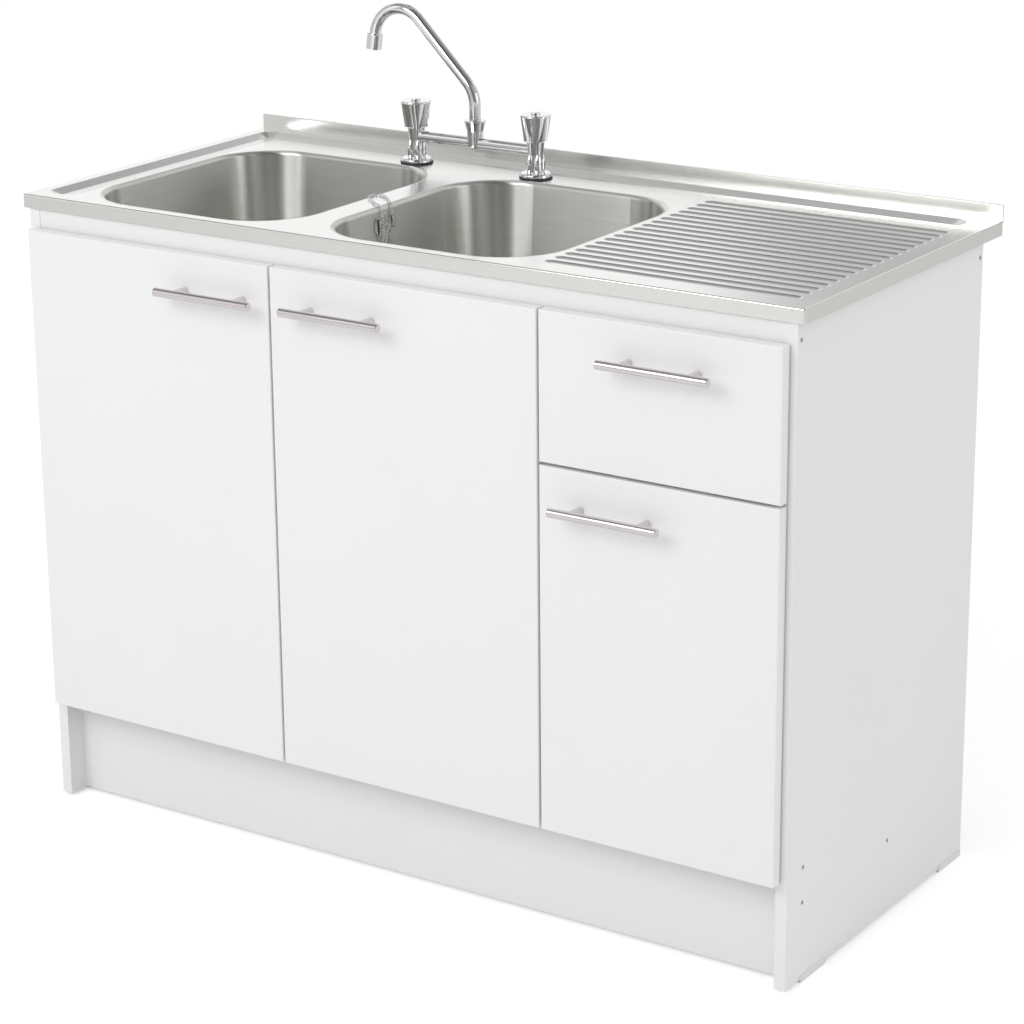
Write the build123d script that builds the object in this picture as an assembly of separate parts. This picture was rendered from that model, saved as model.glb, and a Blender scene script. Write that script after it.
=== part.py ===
"""A double-bowl kitchen sink unit: a pressed steel sink with a drainer and a bridge tap on a white
cupboard with three doors and one drawer.

Millimetres, +Z up. The origin is on the floor, in the middle of the plan. X runs along the front,
from the left bowl to the drainer, and -Y is the side with the doors.
"""

from build123d import *
import os
from math import atan2, cos, degrees, hypot, radians, sin, tan

os.makedirs("parts", exist_ok=True)

# ---------------------------------------------------------------- driving dimensions
# Pressed steel top
TOP_WIDTH = 1200.0
TOP_DEPTH = 535.0
TOP_HEIGHT = 880.0  # floor to working surface
SHEET = 1.0
RIM_DROP = 19.0
RIM_ROUND = 2.5
UPSTAND_RISE = 21.0
UPSTAND_THICK = 3.0
UPSTAND_ROUND = 1.2

# Bowls: inside sizes at the working surface
BOWL_WIDTH = 335.0
BOWL_LENGTH = 394.0
BOWL_DEPTH = 155.0
BOWL_CORNER = 90.0
BOWL_DRAFT = 4.0  # degrees
BOWL_FLOOR_ROUND = 32.0
BOWL_RIM_ROUND = 6.0
BOWL_FLANGE = 7.0
BOWL_GAP = 52.0  # between the two bowls
BOWL_FRONT_MARGIN = 21.5  # worktop front edge to the bowls' front edge
LEFT_BOWL_MARGIN = 78.5  # worktop left edge to the left bowl's edge

# Gutter that runs along the left end and the back of the top
GUTTER_DEPTH = 6.0
GUTTER_SLOPE = 14.0
GUTTER_CORNER = 22.0
GUTTER_FLOOR_CORNER = 9.0
GUTTER_LEFT_MARGIN = 18.0
GUTTER_LEFT_WIDTH = 52.0
GUTTER_FRONT_MARGIN = 23.0
GUTTER_BACK_MARGIN = 17.5
GUTTER_BACK_WIDTH = 48.0
GUTTER_RIGHT_MARGIN = 35.0

# Drainer grooves, pressed as capsule shapes
GROOVE_COUNT = 18
GROOVE_PITCH = 23.0
GROOVE_WIDTH = 15.0
GROOVE_DEPTH = 3.0
GROOVE_FROM_FRONT = 44.0  # worktop front edge to the first groove's middle
GROOVE_BOWL_GAP = 6.0  # right bowl's flange to the grooves' ends
GROOVE_RIGHT_MARGIN = 28.0

# Carcass boards
BOARD = 16.0
CARCASS_INSET = 10.0  # each side panel stands in from the end of the top
CARCASS_SETBACK = 2.5  # panels' front edges behind the top's front edge
CARCASS_BACK_GAP = 36.5  # panels' back edges before the top's back edge
RAIL_HEIGHT = 60.0
RAIL_SETBACK = 1.0  # rails' front edges behind the panels' front edges
FLOOR_BOARD_TOP = 114.0
KICK_TOP = 165.0
KICK_SETBACK = 33.0
KICK_FLOOR_GAP = 4.0
PARTITION_BOWL_GAP = 31.5  # right bowl's edge to the partition
BACK_THICK = 3.0
BACK_DROP = 180.0  # working surface to the back panel's top edge
CROSS_RAIL_DEPTH = 76.0
FRONT_BATTEN_WIDTH = 10.0
SIDE_BATTEN_WIDTH = 7.0

# Plastic shoes clipped on the side panels' bottom edges
SHOE_SOLE = 4.0
SHOE_LENGTH = 66.0
SHOE_LIP = 5.0
SHOE_WALL = 1.5
SHOE_FRONT_INSET = 38.0
SHOE_REAR_INSET = 2.0

# Assembly screws through the side panels
SCREW_HEAD_RADIUS = 3.5
SCREW_HEAD_HEIGHT = 1.2
SCREW_RADIUS = 2.5
SCREW_LENGTH = 50.0
SCREW_SOCKET = 1.8  # corner radius of the hexagonal socket
RAIL_SCREW_DROP = 34.0
KICK_SCREW_HEIGHTS = (109.0, 157.0)
FLOOR_SCREW_FROM_FRONT = 272.0

# Doors and drawer front
DOOR_THICK = 16.0
DOOR_GAP = 2.0  # between the carcass and the backs of the fronts
FRONT_EDGE_ROUND = 2.0
OVERLAY = 6.5  # how far a front covers the panel edge behind it
SIDE_GAP = 3.0  # between neighbouring fronts
DOORS_SPLIT_OFFSET = 11.5  # the split lies this far left of the tap's middle
FRONT_BOTTOM = 148.0
FRONT_DROP = 45.0  # working surface to the fronts' top edges
DRAWER_FRONT_HEIGHT = 194.0
DRAWER_FRONT_GAP = 4.0

# Bar handles
HANDLE_LENGTH = 156.0
HANDLE_RADIUS = 6.0
HANDLE_REACH = 33.0  # door face to the front of the bar
HANDLE_CENTRES = 96.0
HANDLE_DROP = 49.0  # top edge of a front to the bar
HANDLE_CHAMFER = 1.0
POST_RADIUS = 5.0
BOLT_RADIUS = 2.0
BOLT_HEAD_RADIUS = 4.0
BOLT_HEAD_HEIGHT = 2.0
BOLT_GRIP = 10.0
LEFT_HANDLE_INSET = 88.5  # a front's edge nearest the handle to the bar's middle
MIDDLE_HANDLE_INSET = 113.5
DRAWER_HANDLE_INSET = 177.5
SMALL_HANDLE_INSET = 108.5

# Concealed hinges. In plan, across is measured from the door's hinged edge towards its middle, and
# inward from the door's back face into the cupboard.
CUP_RADIUS = 17.5
CUP_WALL = 1.0
CUP_DEPTH = 12.0
CUP_ACROSS = 22.5
CUP_FLANGE_START = 7.0
CUP_FLANGE_END = 43.0
CUP_FLANGE_HEIGHT = 46.0
CUP_FLANGE_THICK = 1.0
ARM_PIN = (20.0, 5.0)  # across, inward
CUP_PIN = (9.5, -4.5)
LINK_BENDS = ((15.0, -9.7), (18.0, -9.4), (22.8, -5.0), (22.6, 1.9))
LINK_THICK = 1.6
LINK_HEIGHT = 10.0
KNUCKLE_RADIUS = 2.3
PIN_RADIUS = 1.3
PIN_PLAY = 0.1
CHEEK_GAP = 0.5
CHEEK_THICK = 2.0
CHEEK_RADIUS = 2.9
ARM_BODY_START = 13.0
ARM_BODY_END = 66.0
ARM_BODY_ACROSS = 22.0
ARM_BODY_HEIGHT = 16.0
ARM_WALL = 1.5
PLATE_THICK = 2.0
PLATE_START = 26.0
PLATE_END = 60.0
PLATE_HEIGHT = 50.0
HINGE_FROM_END = 90.0

# Drawer box and its runners
RUNNER_SPACE = 13.0
DRAWER_SIDE_THICK = 12.0
DRAWER_DEPTH = 400.0
DRAWER_HEIGHT = 120.0
DRAWER_BOX_LIFT = 25.0  # drawer front's bottom edge to the box
DRAWER_BOTTOM_THICK = 4.0
DRAWER_BOTTOM_LIFT = 8.0
DRAWER_BOTTOM_GROOVE = 5.0
RUNNER_THICK = 1.5
RUNNER_LIP = 8.0
RUNNER_LIP_THICK = 2.0
RUNNER_HEIGHT = 30.0
RUNNER_PLAY = 0.3
RUNNER_SETBACK = 4.0
RUNNER_BACK_SPARE = 25.0
RUNNER_LIFT = 10.0  # drawer box's bottom edge to the cabinet runner's lip

# Wastes
WASTE_FLANGE_RADIUS = 35.0
WASTE_FLANGE_THICK = 2.0
WASTE_FLANGE_ROUND = 1.2
WASTE_RADIUS = 24.0
WASTE_BORE = 20.0
WASTE_LENGTH = 72.0
OUTLET_RADIUS = 22.0
OUTLET_LENGTH = 20.0
WASTE_GRID_DROP = 6.0
WASTE_GRID_BAR = 3.0
WASTE_GRID_HUB = 4.5
WASTE_KEY = 1.0  # how far the grid runs into the tail's wall
WASTE_PLAY = 0.3
WASTE_SPIGOT = 12.0
WASTE_SPIGOT_DROP = 35.0  # bowl's floor to the overflow's spigot
WASHER_THICK = 2.0
WASHER_RADIUS = 33.0
NUT_RADIUS = 32.0
NUT_HEIGHT = 12.0
NUT_GRIPS = 12
NUT_GRIP = 3.0
NUT_GRIP_OUT = 1.0  # the grips' middles outside the nut's own radius

# Overflow in the right bowl's left wall, the plug and its chain
OVERFLOW_DROP = 24.0
OVERFLOW_FROM_MIDDLE = -30.5  # along Y from the bowl's middle
OVERFLOW_WIDTH = 46.0
OVERFLOW_HEIGHT = 27.0
OVERFLOW_CORNER = 12.0
OVERFLOW_THICK = 1.5
OVERFLOW_SLOT_WIDTH = 5.0
OVERFLOW_SLOT_HEIGHT = 19.0
OVERFLOW_SLOT_PITCH = 31.0
OVERFLOW_BOX_DEPTH = 12.0
OVERFLOW_BOX_WALL = 2.0
OVERFLOW_PIPE_RADIUS = 9.0
OVERFLOW_PIPE_WALL = 1.5
OVERFLOW_BEND = 25.0
CHAIN_EYE_RADIUS = 3.5
CHAIN_EYE_WIRE = 0.8
PLUG_RADIUS = 23.0
PLUG_FOOT_RADIUS = 20.5
PLUG_FLANGE_RADIUS = 27.0
PLUG_HEIGHT = 12.0
PLUG_FLANGE_THICK = 4.0
PLUG_FLANGE_ROUND = 1.6
BEAD_RADIUS = 1.6
BEAD_PITCH = 4.6
BEAD_LIFT = 0.25
BEAD_WIRE_RADIUS = 0.5
PLUG_FROM_WALL = 105.5  # bowl's left edge to the plug's middle
PLUG_FROM_OVERFLOW = 2.5  # along Y
# The chain's points, chosen by hand. Along a wall each is (from the wall, along Y from the overflow,
# below the working surface), on the deck (from the bowl's edge, along Y from the overflow).
CHAIN_HANGING = (
    (7.7, 0.0, 24.0), (6.4, -2.0, 33.0), (4.8, -5.0, 43.0), (4.2, -9.0, 48.0),
    (4.2, -12.5, 42.0), (4.4, -12.0, 28.0), (4.9, -9.0, 13.5),
)
CHAIN_UP_RIM = ((3.1, -6.0, 7.0), (0.3, -5.0, 0.2), (-5.6, -3.5, -2.0))
CHAIN_LOOP = (
    (-25.5, 11.5), (-42.0, 26.0), (-48.5, 41.0), (-43.5, 50.5), (-33.0, 46.5), (-19.0, 36.0),
)
CHAIN_DOWN_RIM = ((-5.6, 22.0, -2.0), (0.4, 17.5, 0.1), (3.1, 15.0, 7.0))
CHAIN_DOWN_WALL = (
    (4.9, 13.0, 15.0), (4.2, 11.5, 32.0), (2.1, 10.5, 60.0), (2.1, 10.0, 95.0), (2.1, 10.0, 118.0),
    (5.2, 10.0, 135.0), (14.5, 9.0, 145.5), (36.0, 7.0, 152.4), (51.0, 6.0, 152.0), (59.5, 4.5, 146.0),
    (70.0, 3.0, 140.0),
)

# Bridge tap
TAP_CENTRES = 200.0
TAP_FROM_BACK = 89.5
TAP_HOLE_RADIUS = 11.2
TAIL_RADIUS = 10.5
TAIL_LENGTH = 55.0
SUPPLY_RADIUS = 9.0
SUPPLY_LENGTH = 20.0
GASKET_RADIUS = 23.0
GASKET_THICK = 2.5
TAP_FLANGE_RADIUS = 22.0
TAP_FLANGE_HEIGHT = 5.0
TAP_FLANGE_ROUND = 3.0
NECK_RADIUS = 12.5  # under the knob
NECK_TOP = 50.0
WAIST_RADIUS = 10.0
WAIST_HEIGHT = 32.0
LOBE_COUNT = 4
LOBE_RADIUS = 6.2
LOBE_OFFSET = 7.8
LOBE_MIDDLE = 17.0  # height of the lobes' widest part
LOBE_REACH = 21.0  # from there to their pointed ends
LOBE_TURN = -36.0  # degrees from the front of the unit to the foremost lobe
BACKNUT_RADIUS = 16.0
BACKNUT_HEIGHT = 8.0
BRIDGE_RADIUS = 8.0
BRIDGE_HEIGHT = 38.0
BRIDGE_SEAT = 4.0
TEE_RADIUS = 11.3
TEE_ROUND = 5.5
TEE_BOTTOM = 29.5
TEE_SHOULDER = 55.0
TEE_SPIGOT_RADIUS = 9.9
TEE_SPIGOT_TOP = 61.0
COLLAR_TOP = 70.0
COLLAR_RADIUS = 11.6  # at the tee's shoulder
COLLAR_LIP_RADIUS = 15.0  # at the top
COLLAR_LIP = 2.0
COLLAR_ROUND = 1.0
COLLAR_ROOM = 4.0  # space for the spout's ring over the spigot
SPOUT_RADIUS = 8.0
SPOUT_WALL = 1.2
SPOUT_PLAY = 0.3
SPOUT_FOOT = 46.0
SPOUT_RING_RADIUS = 9.6
SPOUT_CORNER_HEIGHT = 109.0
SPOUT_LEAN = 45.0  # degrees from upright
SPOUT_BEND_RADIUS = 45.0
HOOK_RADIUS = 44.0
HOOK_REACH = 124.0
HOOK_TIP_ANGLE = 8.0
AERATOR_RADIUS = 11.0
AERATOR_ROUND = 1.1
AERATOR_LENGTH = 22.0
AERATOR_SEAT = 6.0
KNOB_BASE = 51.0
KNOB_HEIGHT = 37.0
KNOB_RADIUS = 21.0
KNOB_FOOT_RADIUS = 16.0
KNOB_PLATE = 2.5  # thickness of the round plate on its top
KNOB_PLATE_OVER = 0.3  # how far the plate stands out past the lobes
KNOB_ROUND = 1.5
FLUTE_RADIUS = 24.0
FLUTE_DEPTH = 4.5
KNOB_TURN = 34.0  # degrees from the unit's axes to the lobes
SPINDLE_RADIUS = 4.0
SPINDLE_PLAY = 0.3
SPINDLE_FOOT = 24.0
SPINDLE_TOP = 72.0
CAP_RADIUS = 6.5
CAP_HEIGHT = 5.0
CAP_ROUND = 1.2
CAP_SEAT = 2.0

# ---------------------------------------------------------------- places worked out from them
FRONT_PROUD = DOOR_THICK + DOOR_GAP - CARCASS_SETBACK
OVERALL_DEPTH = TOP_DEPTH + FRONT_PROUD + HANDLE_REACH
Y_BACK = OVERALL_DEPTH / 2
Y_TOP_FRONT = Y_BACK - TOP_DEPTH
Y_FRONT = Y_TOP_FRONT + CARCASS_SETBACK
Y_CARCASS_BACK = Y_BACK - CARCASS_BACK_GAP
Y_DOOR_BACK = Y_FRONT - DOOR_GAP
Y_DOOR_FACE = Y_DOOR_BACK - DOOR_THICK

X_SIDE = TOP_WIDTH / 2 - CARCASS_INSET
X_INSIDE = X_SIDE - BOARD
X_FRONTS = X_INSIDE + OVERLAY
CARCASS_TOP = TOP_HEIGHT - SHEET - GUTTER_DEPTH
SHEET_UNDER = TOP_HEIGHT - SHEET

LEFT_BOWL_X = -TOP_WIDTH / 2 + LEFT_BOWL_MARGIN + BOWL_WIDTH / 2
RIGHT_BOWL_X = LEFT_BOWL_X + BOWL_WIDTH + BOWL_GAP
BOWL_Y = Y_TOP_FRONT + BOWL_FRONT_MARGIN + BOWL_LENGTH / 2
BOWL_FLOOR = TOP_HEIGHT - BOWL_DEPTH
TAP_X = (LEFT_BOWL_X + RIGHT_BOWL_X) / 2
TAP_Y = Y_BACK - TAP_FROM_BACK
OVERFLOW_Y = BOWL_Y + OVERFLOW_FROM_MIDDLE
WASTE_SPIGOT_HEIGHT = BOWL_FLOOR - WASTE_SPIGOT_DROP

X_PARTITION_LEFT = RIGHT_BOWL_X + BOWL_WIDTH / 2 + PARTITION_BOWL_GAP
X_PARTITION_RIGHT = X_PARTITION_LEFT + BOARD
X_RIGHT_FRONTS = X_PARTITION_LEFT + OVERLAY + SIDE_GAP
DOORS_SPLIT_X = TAP_X - DOORS_SPLIT_OFFSET
X_LEFT_DOOR_END = DOORS_SPLIT_X - SIDE_GAP / 2
X_MIDDLE_DOOR_START = DOORS_SPLIT_X + SIDE_GAP / 2

RAIL_FRONT = Y_FRONT + RAIL_SETBACK
RAIL_BACK = RAIL_FRONT + BOARD
KICK_FRONT = Y_FRONT + KICK_SETBACK
KICK_BACK = KICK_FRONT + BOARD
BACK_FRONT = Y_CARCASS_BACK - BOARD - BACK_THICK
BACK_REAR = Y_CARCASS_BACK - BOARD
RAIL_BOTTOM = CARCASS_TOP - RAIL_HEIGHT
BACK_TOP = TOP_HEIGHT - BACK_DROP
FRONT_TOP = TOP_HEIGHT - FRONT_DROP
DRAWER_FRONT_BOTTOM = FRONT_TOP - DRAWER_FRONT_HEIGHT
SMALL_DOOR_TOP = DRAWER_FRONT_BOTTOM - DRAWER_FRONT_GAP
CROSS_RAIL_MID = DRAWER_FRONT_BOTTOM - DRAWER_FRONT_GAP / 2

UP = (Align.CENTER, Align.CENTER, Align.MIN)


# ---------------------------------------------------------------- helpers
def box(x0, x1, y0, y1, z0, z1):
    """A straight block between two opposite corners."""
    middle = Pos((x0 + x1) / 2, (y0 + y1) / 2, (z0 + z1) / 2)
    return middle * Box(x1 - x0, y1 - y0, z1 - z0)


def rod(start, direction, radius, length):
    """A round bar that starts at a point and runs along a direction."""
    return Plane(origin=start, z_dir=direction) * Cylinder(radius, length, align=UP)


def save(name, *pieces):
    """Write the solids of one node to its own file."""
    solids = [solid for piece in pieces for solid in piece.solids()]
    shape = solids[0] if len(solids) == 1 else Compound(solids)
    shape.label = name
    export_step(shape, f"parts/{name}.step")


# ---------------------------------------------------------------- steel top and bowls
def folded_tray():
    """The top sheet with its four edges folded down, and the hemmed upstand at the back."""
    outer = box(-TOP_WIDTH / 2, TOP_WIDTH / 2, Y_TOP_FRONT, Y_BACK, TOP_HEIGHT - RIM_DROP, TOP_HEIGHT)
    edges = outer.edges().filter_by(Axis.Z) + outer.edges().group_by(Axis.Z)[-1]
    outer = fillet(edges, RIM_ROUND)
    inner = box(
        -TOP_WIDTH / 2 + SHEET, TOP_WIDTH / 2 - SHEET,
        Y_TOP_FRONT + SHEET, Y_BACK - SHEET,
        TOP_HEIGHT - RIM_DROP, SHEET_UNDER,
    )
    edges = inner.edges().filter_by(Axis.Z) + inner.edges().group_by(Axis.Z)[-1]
    inner = fillet(edges, RIM_ROUND - SHEET)
    upstand = box(
        -TOP_WIDTH / 2, TOP_WIDTH / 2,
        Y_BACK - UPSTAND_THICK, Y_BACK,
        TOP_HEIGHT - RIM_ROUND, TOP_HEIGHT + UPSTAND_RISE,
    )
    crest = upstand.edges().filter_by(Axis.X).group_by(Axis.Z)[-1]
    upstand = fillet(crest, UPSTAND_ROUND)
    return outer - inner + upstand


def trough(x0, x1, y0, y1):
    """The hollow of one leg of the gutter, from the working surface down to its narrower floor."""
    middle = Pos((x0 + x1) / 2, (y0 + y1) / 2, TOP_HEIGHT)
    mouth = middle * RectangleRounded(x1 - x0, y1 - y0, GUTTER_CORNER)
    floor = (
        middle * Pos(0, 0, -GUTTER_DEPTH)
        * RectangleRounded(x1 - x0 - 2 * GUTTER_SLOPE, y1 - y0 - 2 * GUTTER_SLOPE, GUTTER_FLOOR_CORNER)
    )
    return loft([mouth.face(), floor.face()])


def gutter_hollows():
    """Both legs of the gutter: along the left end and along the back."""
    left = -TOP_WIDTH / 2 + GUTTER_LEFT_MARGIN
    back = Y_BACK - GUTTER_BACK_MARGIN
    along_left = trough(left, left + GUTTER_LEFT_WIDTH, Y_TOP_FRONT + GUTTER_FRONT_MARGIN, back)
    along_back = trough(left, TOP_WIDTH / 2 - GUTTER_RIGHT_MARGIN, back - GUTTER_BACK_WIDTH, back)
    return along_left + along_back


def groove(y, grow):
    """One drainer groove as a lying capsule that the working surface cuts, grown by a wall."""
    half = GROOVE_WIDTH / 2
    radius = (half**2 + GROOVE_DEPTH**2) / (2 * GROOVE_DEPTH)
    bowl_side = RIGHT_BOWL_X + BOWL_WIDTH / 2 + BOWL_FLANGE + GROOVE_BOWL_GAP + half
    end_side = TOP_WIDTH / 2 - GROOVE_RIGHT_MARGIN - half
    z = TOP_HEIGHT - GROOVE_DEPTH + radius
    start = (bowl_side, y, z)
    barrel = rod(start, (1, 0, 0), radius + grow, end_side - bowl_side)
    caps = Pos(*start) * Sphere(radius + grow) + Pos(end_side, y, z) * Sphere(radius + grow)
    return barrel + caps


def bowl_outline(x, grow):
    """Plan of a bowl's mouth at the working surface, grown outwards."""
    plan = RectangleRounded(BOWL_WIDTH + 2 * grow, BOWL_LENGTH + 2 * grow, BOWL_CORNER + grow)
    return Pos(x, BOWL_Y, TOP_HEIGHT) * plan


def sink_top():
    """The pressed top: rim, upstand, gutter, drainer grooves, bowl cut-outs and tap holes."""
    top = folded_tray()
    hollows = gutter_hollows()
    top = top + Pos(0, 0, -SHEET) * hollows
    ys = [Y_TOP_FRONT + GROOVE_FROM_FRONT + n * GROOVE_PITCH for n in range(GROOVE_COUNT)]
    below = box(
        -TOP_WIDTH / 2, TOP_WIDTH / 2, Y_TOP_FRONT + SHEET, Y_BACK - SHEET,
        TOP_HEIGHT - RIM_DROP, SHEET_UNDER,
    )
    top = top + [groove(y, SHEET) & below for y in ys]
    top = top - hollows - [groove(y, 0) for y in ys]
    for x in (LEFT_BOWL_X, RIGHT_BOWL_X):
        top = top - extrude(bowl_outline(x, BOWL_FLANGE), RIM_DROP, both=True)
    for x in (TAP_X - TAP_CENTRES / 2, TAP_X + TAP_CENTRES / 2):
        top = top - rod((x, TAP_Y, TOP_HEIGHT - RIM_DROP), (0, 0, 1), TAP_HOLE_RADIUS, RIM_DROP * 2)
    return top


def bowl_space(grow):
    """The space inside a bowl, grown by a wall, with its mouth rolled out onto the surface."""
    level = -grow
    mouth = RectangleRounded(BOWL_WIDTH + 2 * grow, BOWL_LENGTH + 2 * grow, BOWL_CORNER + grow)
    space = extrude(Pos(0, 0, level) * mouth, BOWL_DEPTH, dir=(0, 0, -1), taper=BOWL_DRAFT)
    space = fillet(space.edges().group_by(Axis.Z)[0], BOWL_FLOOR_ROUND + grow)
    margin = 2 * (BOWL_FLANGE + BOWL_RIM_ROUND)
    above = Pos(0, 0, level) * Box(BOWL_WIDTH + 2 * margin, BOWL_LENGTH + 2 * margin, RIM_DROP, align=UP)
    space = space + above
    limit = BOWL_WIDTH / 2 + BOWL_FLANGE
    reach = BOWL_LENGTH / 2 + BOWL_FLANGE
    rim = [
        edge for edge in space.edges()
        if abs(edge.center().Z - level) < SHEET / 10
        and abs(edge.center().X) < limit
        and abs(edge.center().Y) < reach
    ]
    return fillet(rim, BOWL_RIM_ROUND - grow)


def bowl(x):
    """One bowl: a drawn shell with a rolled rim, a rounded floor and a waste hole."""
    shell = Pos(x, BOWL_Y, TOP_HEIGHT) * (bowl_space(SHEET) - bowl_space(0))
    shell = shell & extrude(bowl_outline(x, BOWL_FLANGE), 2 * BOWL_DEPTH, both=True)
    hole = rod((x, BOWL_Y, BOWL_FLOOR - 2 * SHEET), (0, 0, 1), WASTE_RADIUS, 4 * SHEET)
    return shell - hole


def overflow_place():
    """The overflow's frame on the right bowl's left wall: X points into the bowl."""
    wall_x = RIGHT_BOWL_X - BOWL_WIDTH / 2 + OVERFLOW_DROP * tan(radians(BOWL_DRAFT))
    return Location((wall_x, OVERFLOW_Y, TOP_HEIGHT - OVERFLOW_DROP), (0, -BOWL_DRAFT, 0))


def overflow_slots(depth):
    """The two slots that pass the overflowing water, through the plate and the wall."""
    slot = Box(depth, OVERFLOW_SLOT_WIDTH, OVERFLOW_SLOT_HEIGHT)
    return [Pos(0, side * OVERFLOW_SLOT_PITCH / 2, 0) * slot for side in (-1, 1)]


def overflow_plate():
    """The cover plate inside the bowl, with the eye that holds the chain."""
    plate = Pos(OVERFLOW_THICK / 2, 0, 0) * Box(OVERFLOW_THICK, OVERFLOW_WIDTH, OVERFLOW_HEIGHT)
    plate = fillet(plate.edges().filter_by(Axis.X), OVERFLOW_CORNER)
    for slot in overflow_slots(4 * OVERFLOW_THICK):
        plate = plate - slot
    eye = Pos(OVERFLOW_THICK, 0, 0) * Rot(90, 0, 0) * Torus(CHAIN_EYE_RADIUS, CHAIN_EYE_WIRE)
    front = Pos(OVERFLOW_THICK, 0, 0) * Box(
        4 * CHAIN_EYE_RADIUS, OVERFLOW_WIDTH, OVERFLOW_HEIGHT, align=(Align.MIN, Align.CENTER, Align.CENTER)
    )
    return overflow_place() * (plate + (eye & front))


def overflow_box():
    """The plastic box behind the wall and the pipe that falls from it to the waste."""
    wall = OVERFLOW_BOX_WALL
    depth = OVERFLOW_BOX_DEPTH + wall
    lean = radians(BOWL_DRAFT)
    middle = Pos(-SHEET * (cos(lean) + sin(lean)) - depth / 2, 0, 0)
    case = middle * Box(depth, OVERFLOW_WIDTH, OVERFLOW_HEIGHT)
    room = Box(depth, OVERFLOW_WIDTH - 2 * wall, OVERFLOW_HEIGHT - 2 * wall)
    case = overflow_place() * (case - Pos(wall, 0, 0) * middle * room)
    x, y, z = overflow_pipe_top()
    bore = OVERFLOW_PIPE_RADIUS - OVERFLOW_PIPE_WALL
    spigot = Cylinder(OVERFLOW_PIPE_RADIUS, OVERFLOW_HEIGHT / 2, align=UP)
    case = case + (Pos(x, y, z) * spigot - overflow_place() * middle * room)
    return case - Pos(x, y, z - wall) * Cylinder(bore, OVERFLOW_HEIGHT / 2 + wall, align=UP)


def overflow_pipe_top():
    """Upper end of the overflow pipe, under the box."""
    place = overflow_place().position
    x = place.X - SHEET - OVERFLOW_BOX_WALL - OVERFLOW_PIPE_RADIUS
    return x, place.Y, place.Z - OVERFLOW_HEIGHT / 2 - OVERFLOW_BOX_WALL * 2


def overflow_pipe():
    """The box behind the right bowl's wall, with the pipe that runs down and across to the waste."""
    x, y, top = overflow_pipe_top()
    start = Vector(x, y, top)
    toward = Vector(RIGHT_BOWL_X - x, BOWL_Y - y, 0)
    run = toward.length - WASTE_RADIUS - WASTE_SPIGOT
    low = Vector(x, y, WASTE_SPIGOT_HEIGHT)
    path = FilletPolyline(start, low, low + toward.normalized() * run, radius=OVERFLOW_BEND)
    ring = Plane(origin=start, z_dir=(0, 0, -1)) * Circle(OVERFLOW_PIPE_RADIUS)
    hole = Plane(origin=start, z_dir=(0, 0, -1)) * Circle(OVERFLOW_PIPE_RADIUS - OVERFLOW_PIPE_WALL)
    return overflow_box() + (sweep(ring, path=path) - sweep(hole, path=path))


def waste(x, spigot):
    """A waste fitting: a flange on the bowl's floor, a tail and a grid, and the overflow's spigot."""
    top = BOWL_FLOOR + WASTE_FLANGE_THICK
    base = Pos(x, BOWL_Y, BOWL_FLOOR)
    tail = rod((x, BOWL_Y, top), (0, 0, -1), WASTE_RADIUS - WASTE_PLAY, WASTE_LENGTH - OUTLET_LENGTH)
    tail = tail + rod((x, BOWL_Y, top), (0, 0, -1), OUTLET_RADIUS, WASTE_LENGTH)
    flange = base * Cylinder(WASTE_FLANGE_RADIUS, WASTE_FLANGE_THICK, align=UP)
    flange = fillet(flange.edges().group_by(Axis.Z)[-1], WASTE_FLANGE_ROUND)
    body = tail + flange - rod((x, BOWL_Y, top), (0, 0, -1), WASTE_BORE, WASTE_LENGTH)
    grid_z = top - WASTE_GRID_DROP - WASTE_GRID_BAR / 2
    for turn in range(0, 180, 45):
        bar = Pos(x, BOWL_Y, grid_z) * Rot(0, 0, turn)
        body = body + bar * Box(2 * (WASTE_BORE + WASTE_KEY), WASTE_GRID_BAR, WASTE_GRID_BAR)
    hub = rod((x, BOWL_Y, grid_z - WASTE_GRID_BAR), (0, 0, 1), WASTE_GRID_HUB, 2 * WASTE_GRID_BAR)
    body = body + hub
    if not spigot:
        return [body]
    px, py, _ = overflow_pipe_top()
    toward = Vector(px - x, py - BOWL_Y, 0).normalized()
    start = Vector(x, BOWL_Y, WASTE_SPIGOT_HEIGHT)
    barrel = rod((x, BOWL_Y, top), (0, 0, -1), WASTE_RADIUS - WASTE_PLAY, WASTE_LENGTH)
    arm = rod(start, toward, OVERFLOW_PIPE_RADIUS, WASTE_RADIUS + WASTE_SPIGOT) - barrel
    bore = rod(start, toward, OVERFLOW_PIPE_RADIUS - OVERFLOW_PIPE_WALL, WASTE_RADIUS + WASTE_SPIGOT)
    return [body - bore, arm - bore]


def waste_washer(x):
    """The rubber ring between a bowl's floor and the nut."""
    base = Pos(x, BOWL_Y, BOWL_FLOOR - SHEET - WASHER_THICK)
    ring = Cylinder(WASHER_RADIUS, WASHER_THICK, align=UP) - Cylinder(WASTE_RADIUS, WASHER_THICK, align=UP)
    return base * ring


def waste_nut(x):
    """The plastic ring nut with grips that pulls a waste tight."""
    base = Pos(x, BOWL_Y, BOWL_FLOOR - SHEET - WASHER_THICK - NUT_HEIGHT)
    nut = Cylinder(NUT_RADIUS, NUT_HEIGHT, align=UP)
    for n in range(NUT_GRIPS):
        grip = Rot(0, 0, n * 360 / NUT_GRIPS) * Pos(NUT_RADIUS + NUT_GRIP_OUT, 0, 0)
        nut = nut - grip * Cylinder(NUT_GRIP, NUT_HEIGHT, align=UP)
    return base * (nut - Cylinder(WASTE_RADIUS, NUT_HEIGHT, align=UP))


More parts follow.
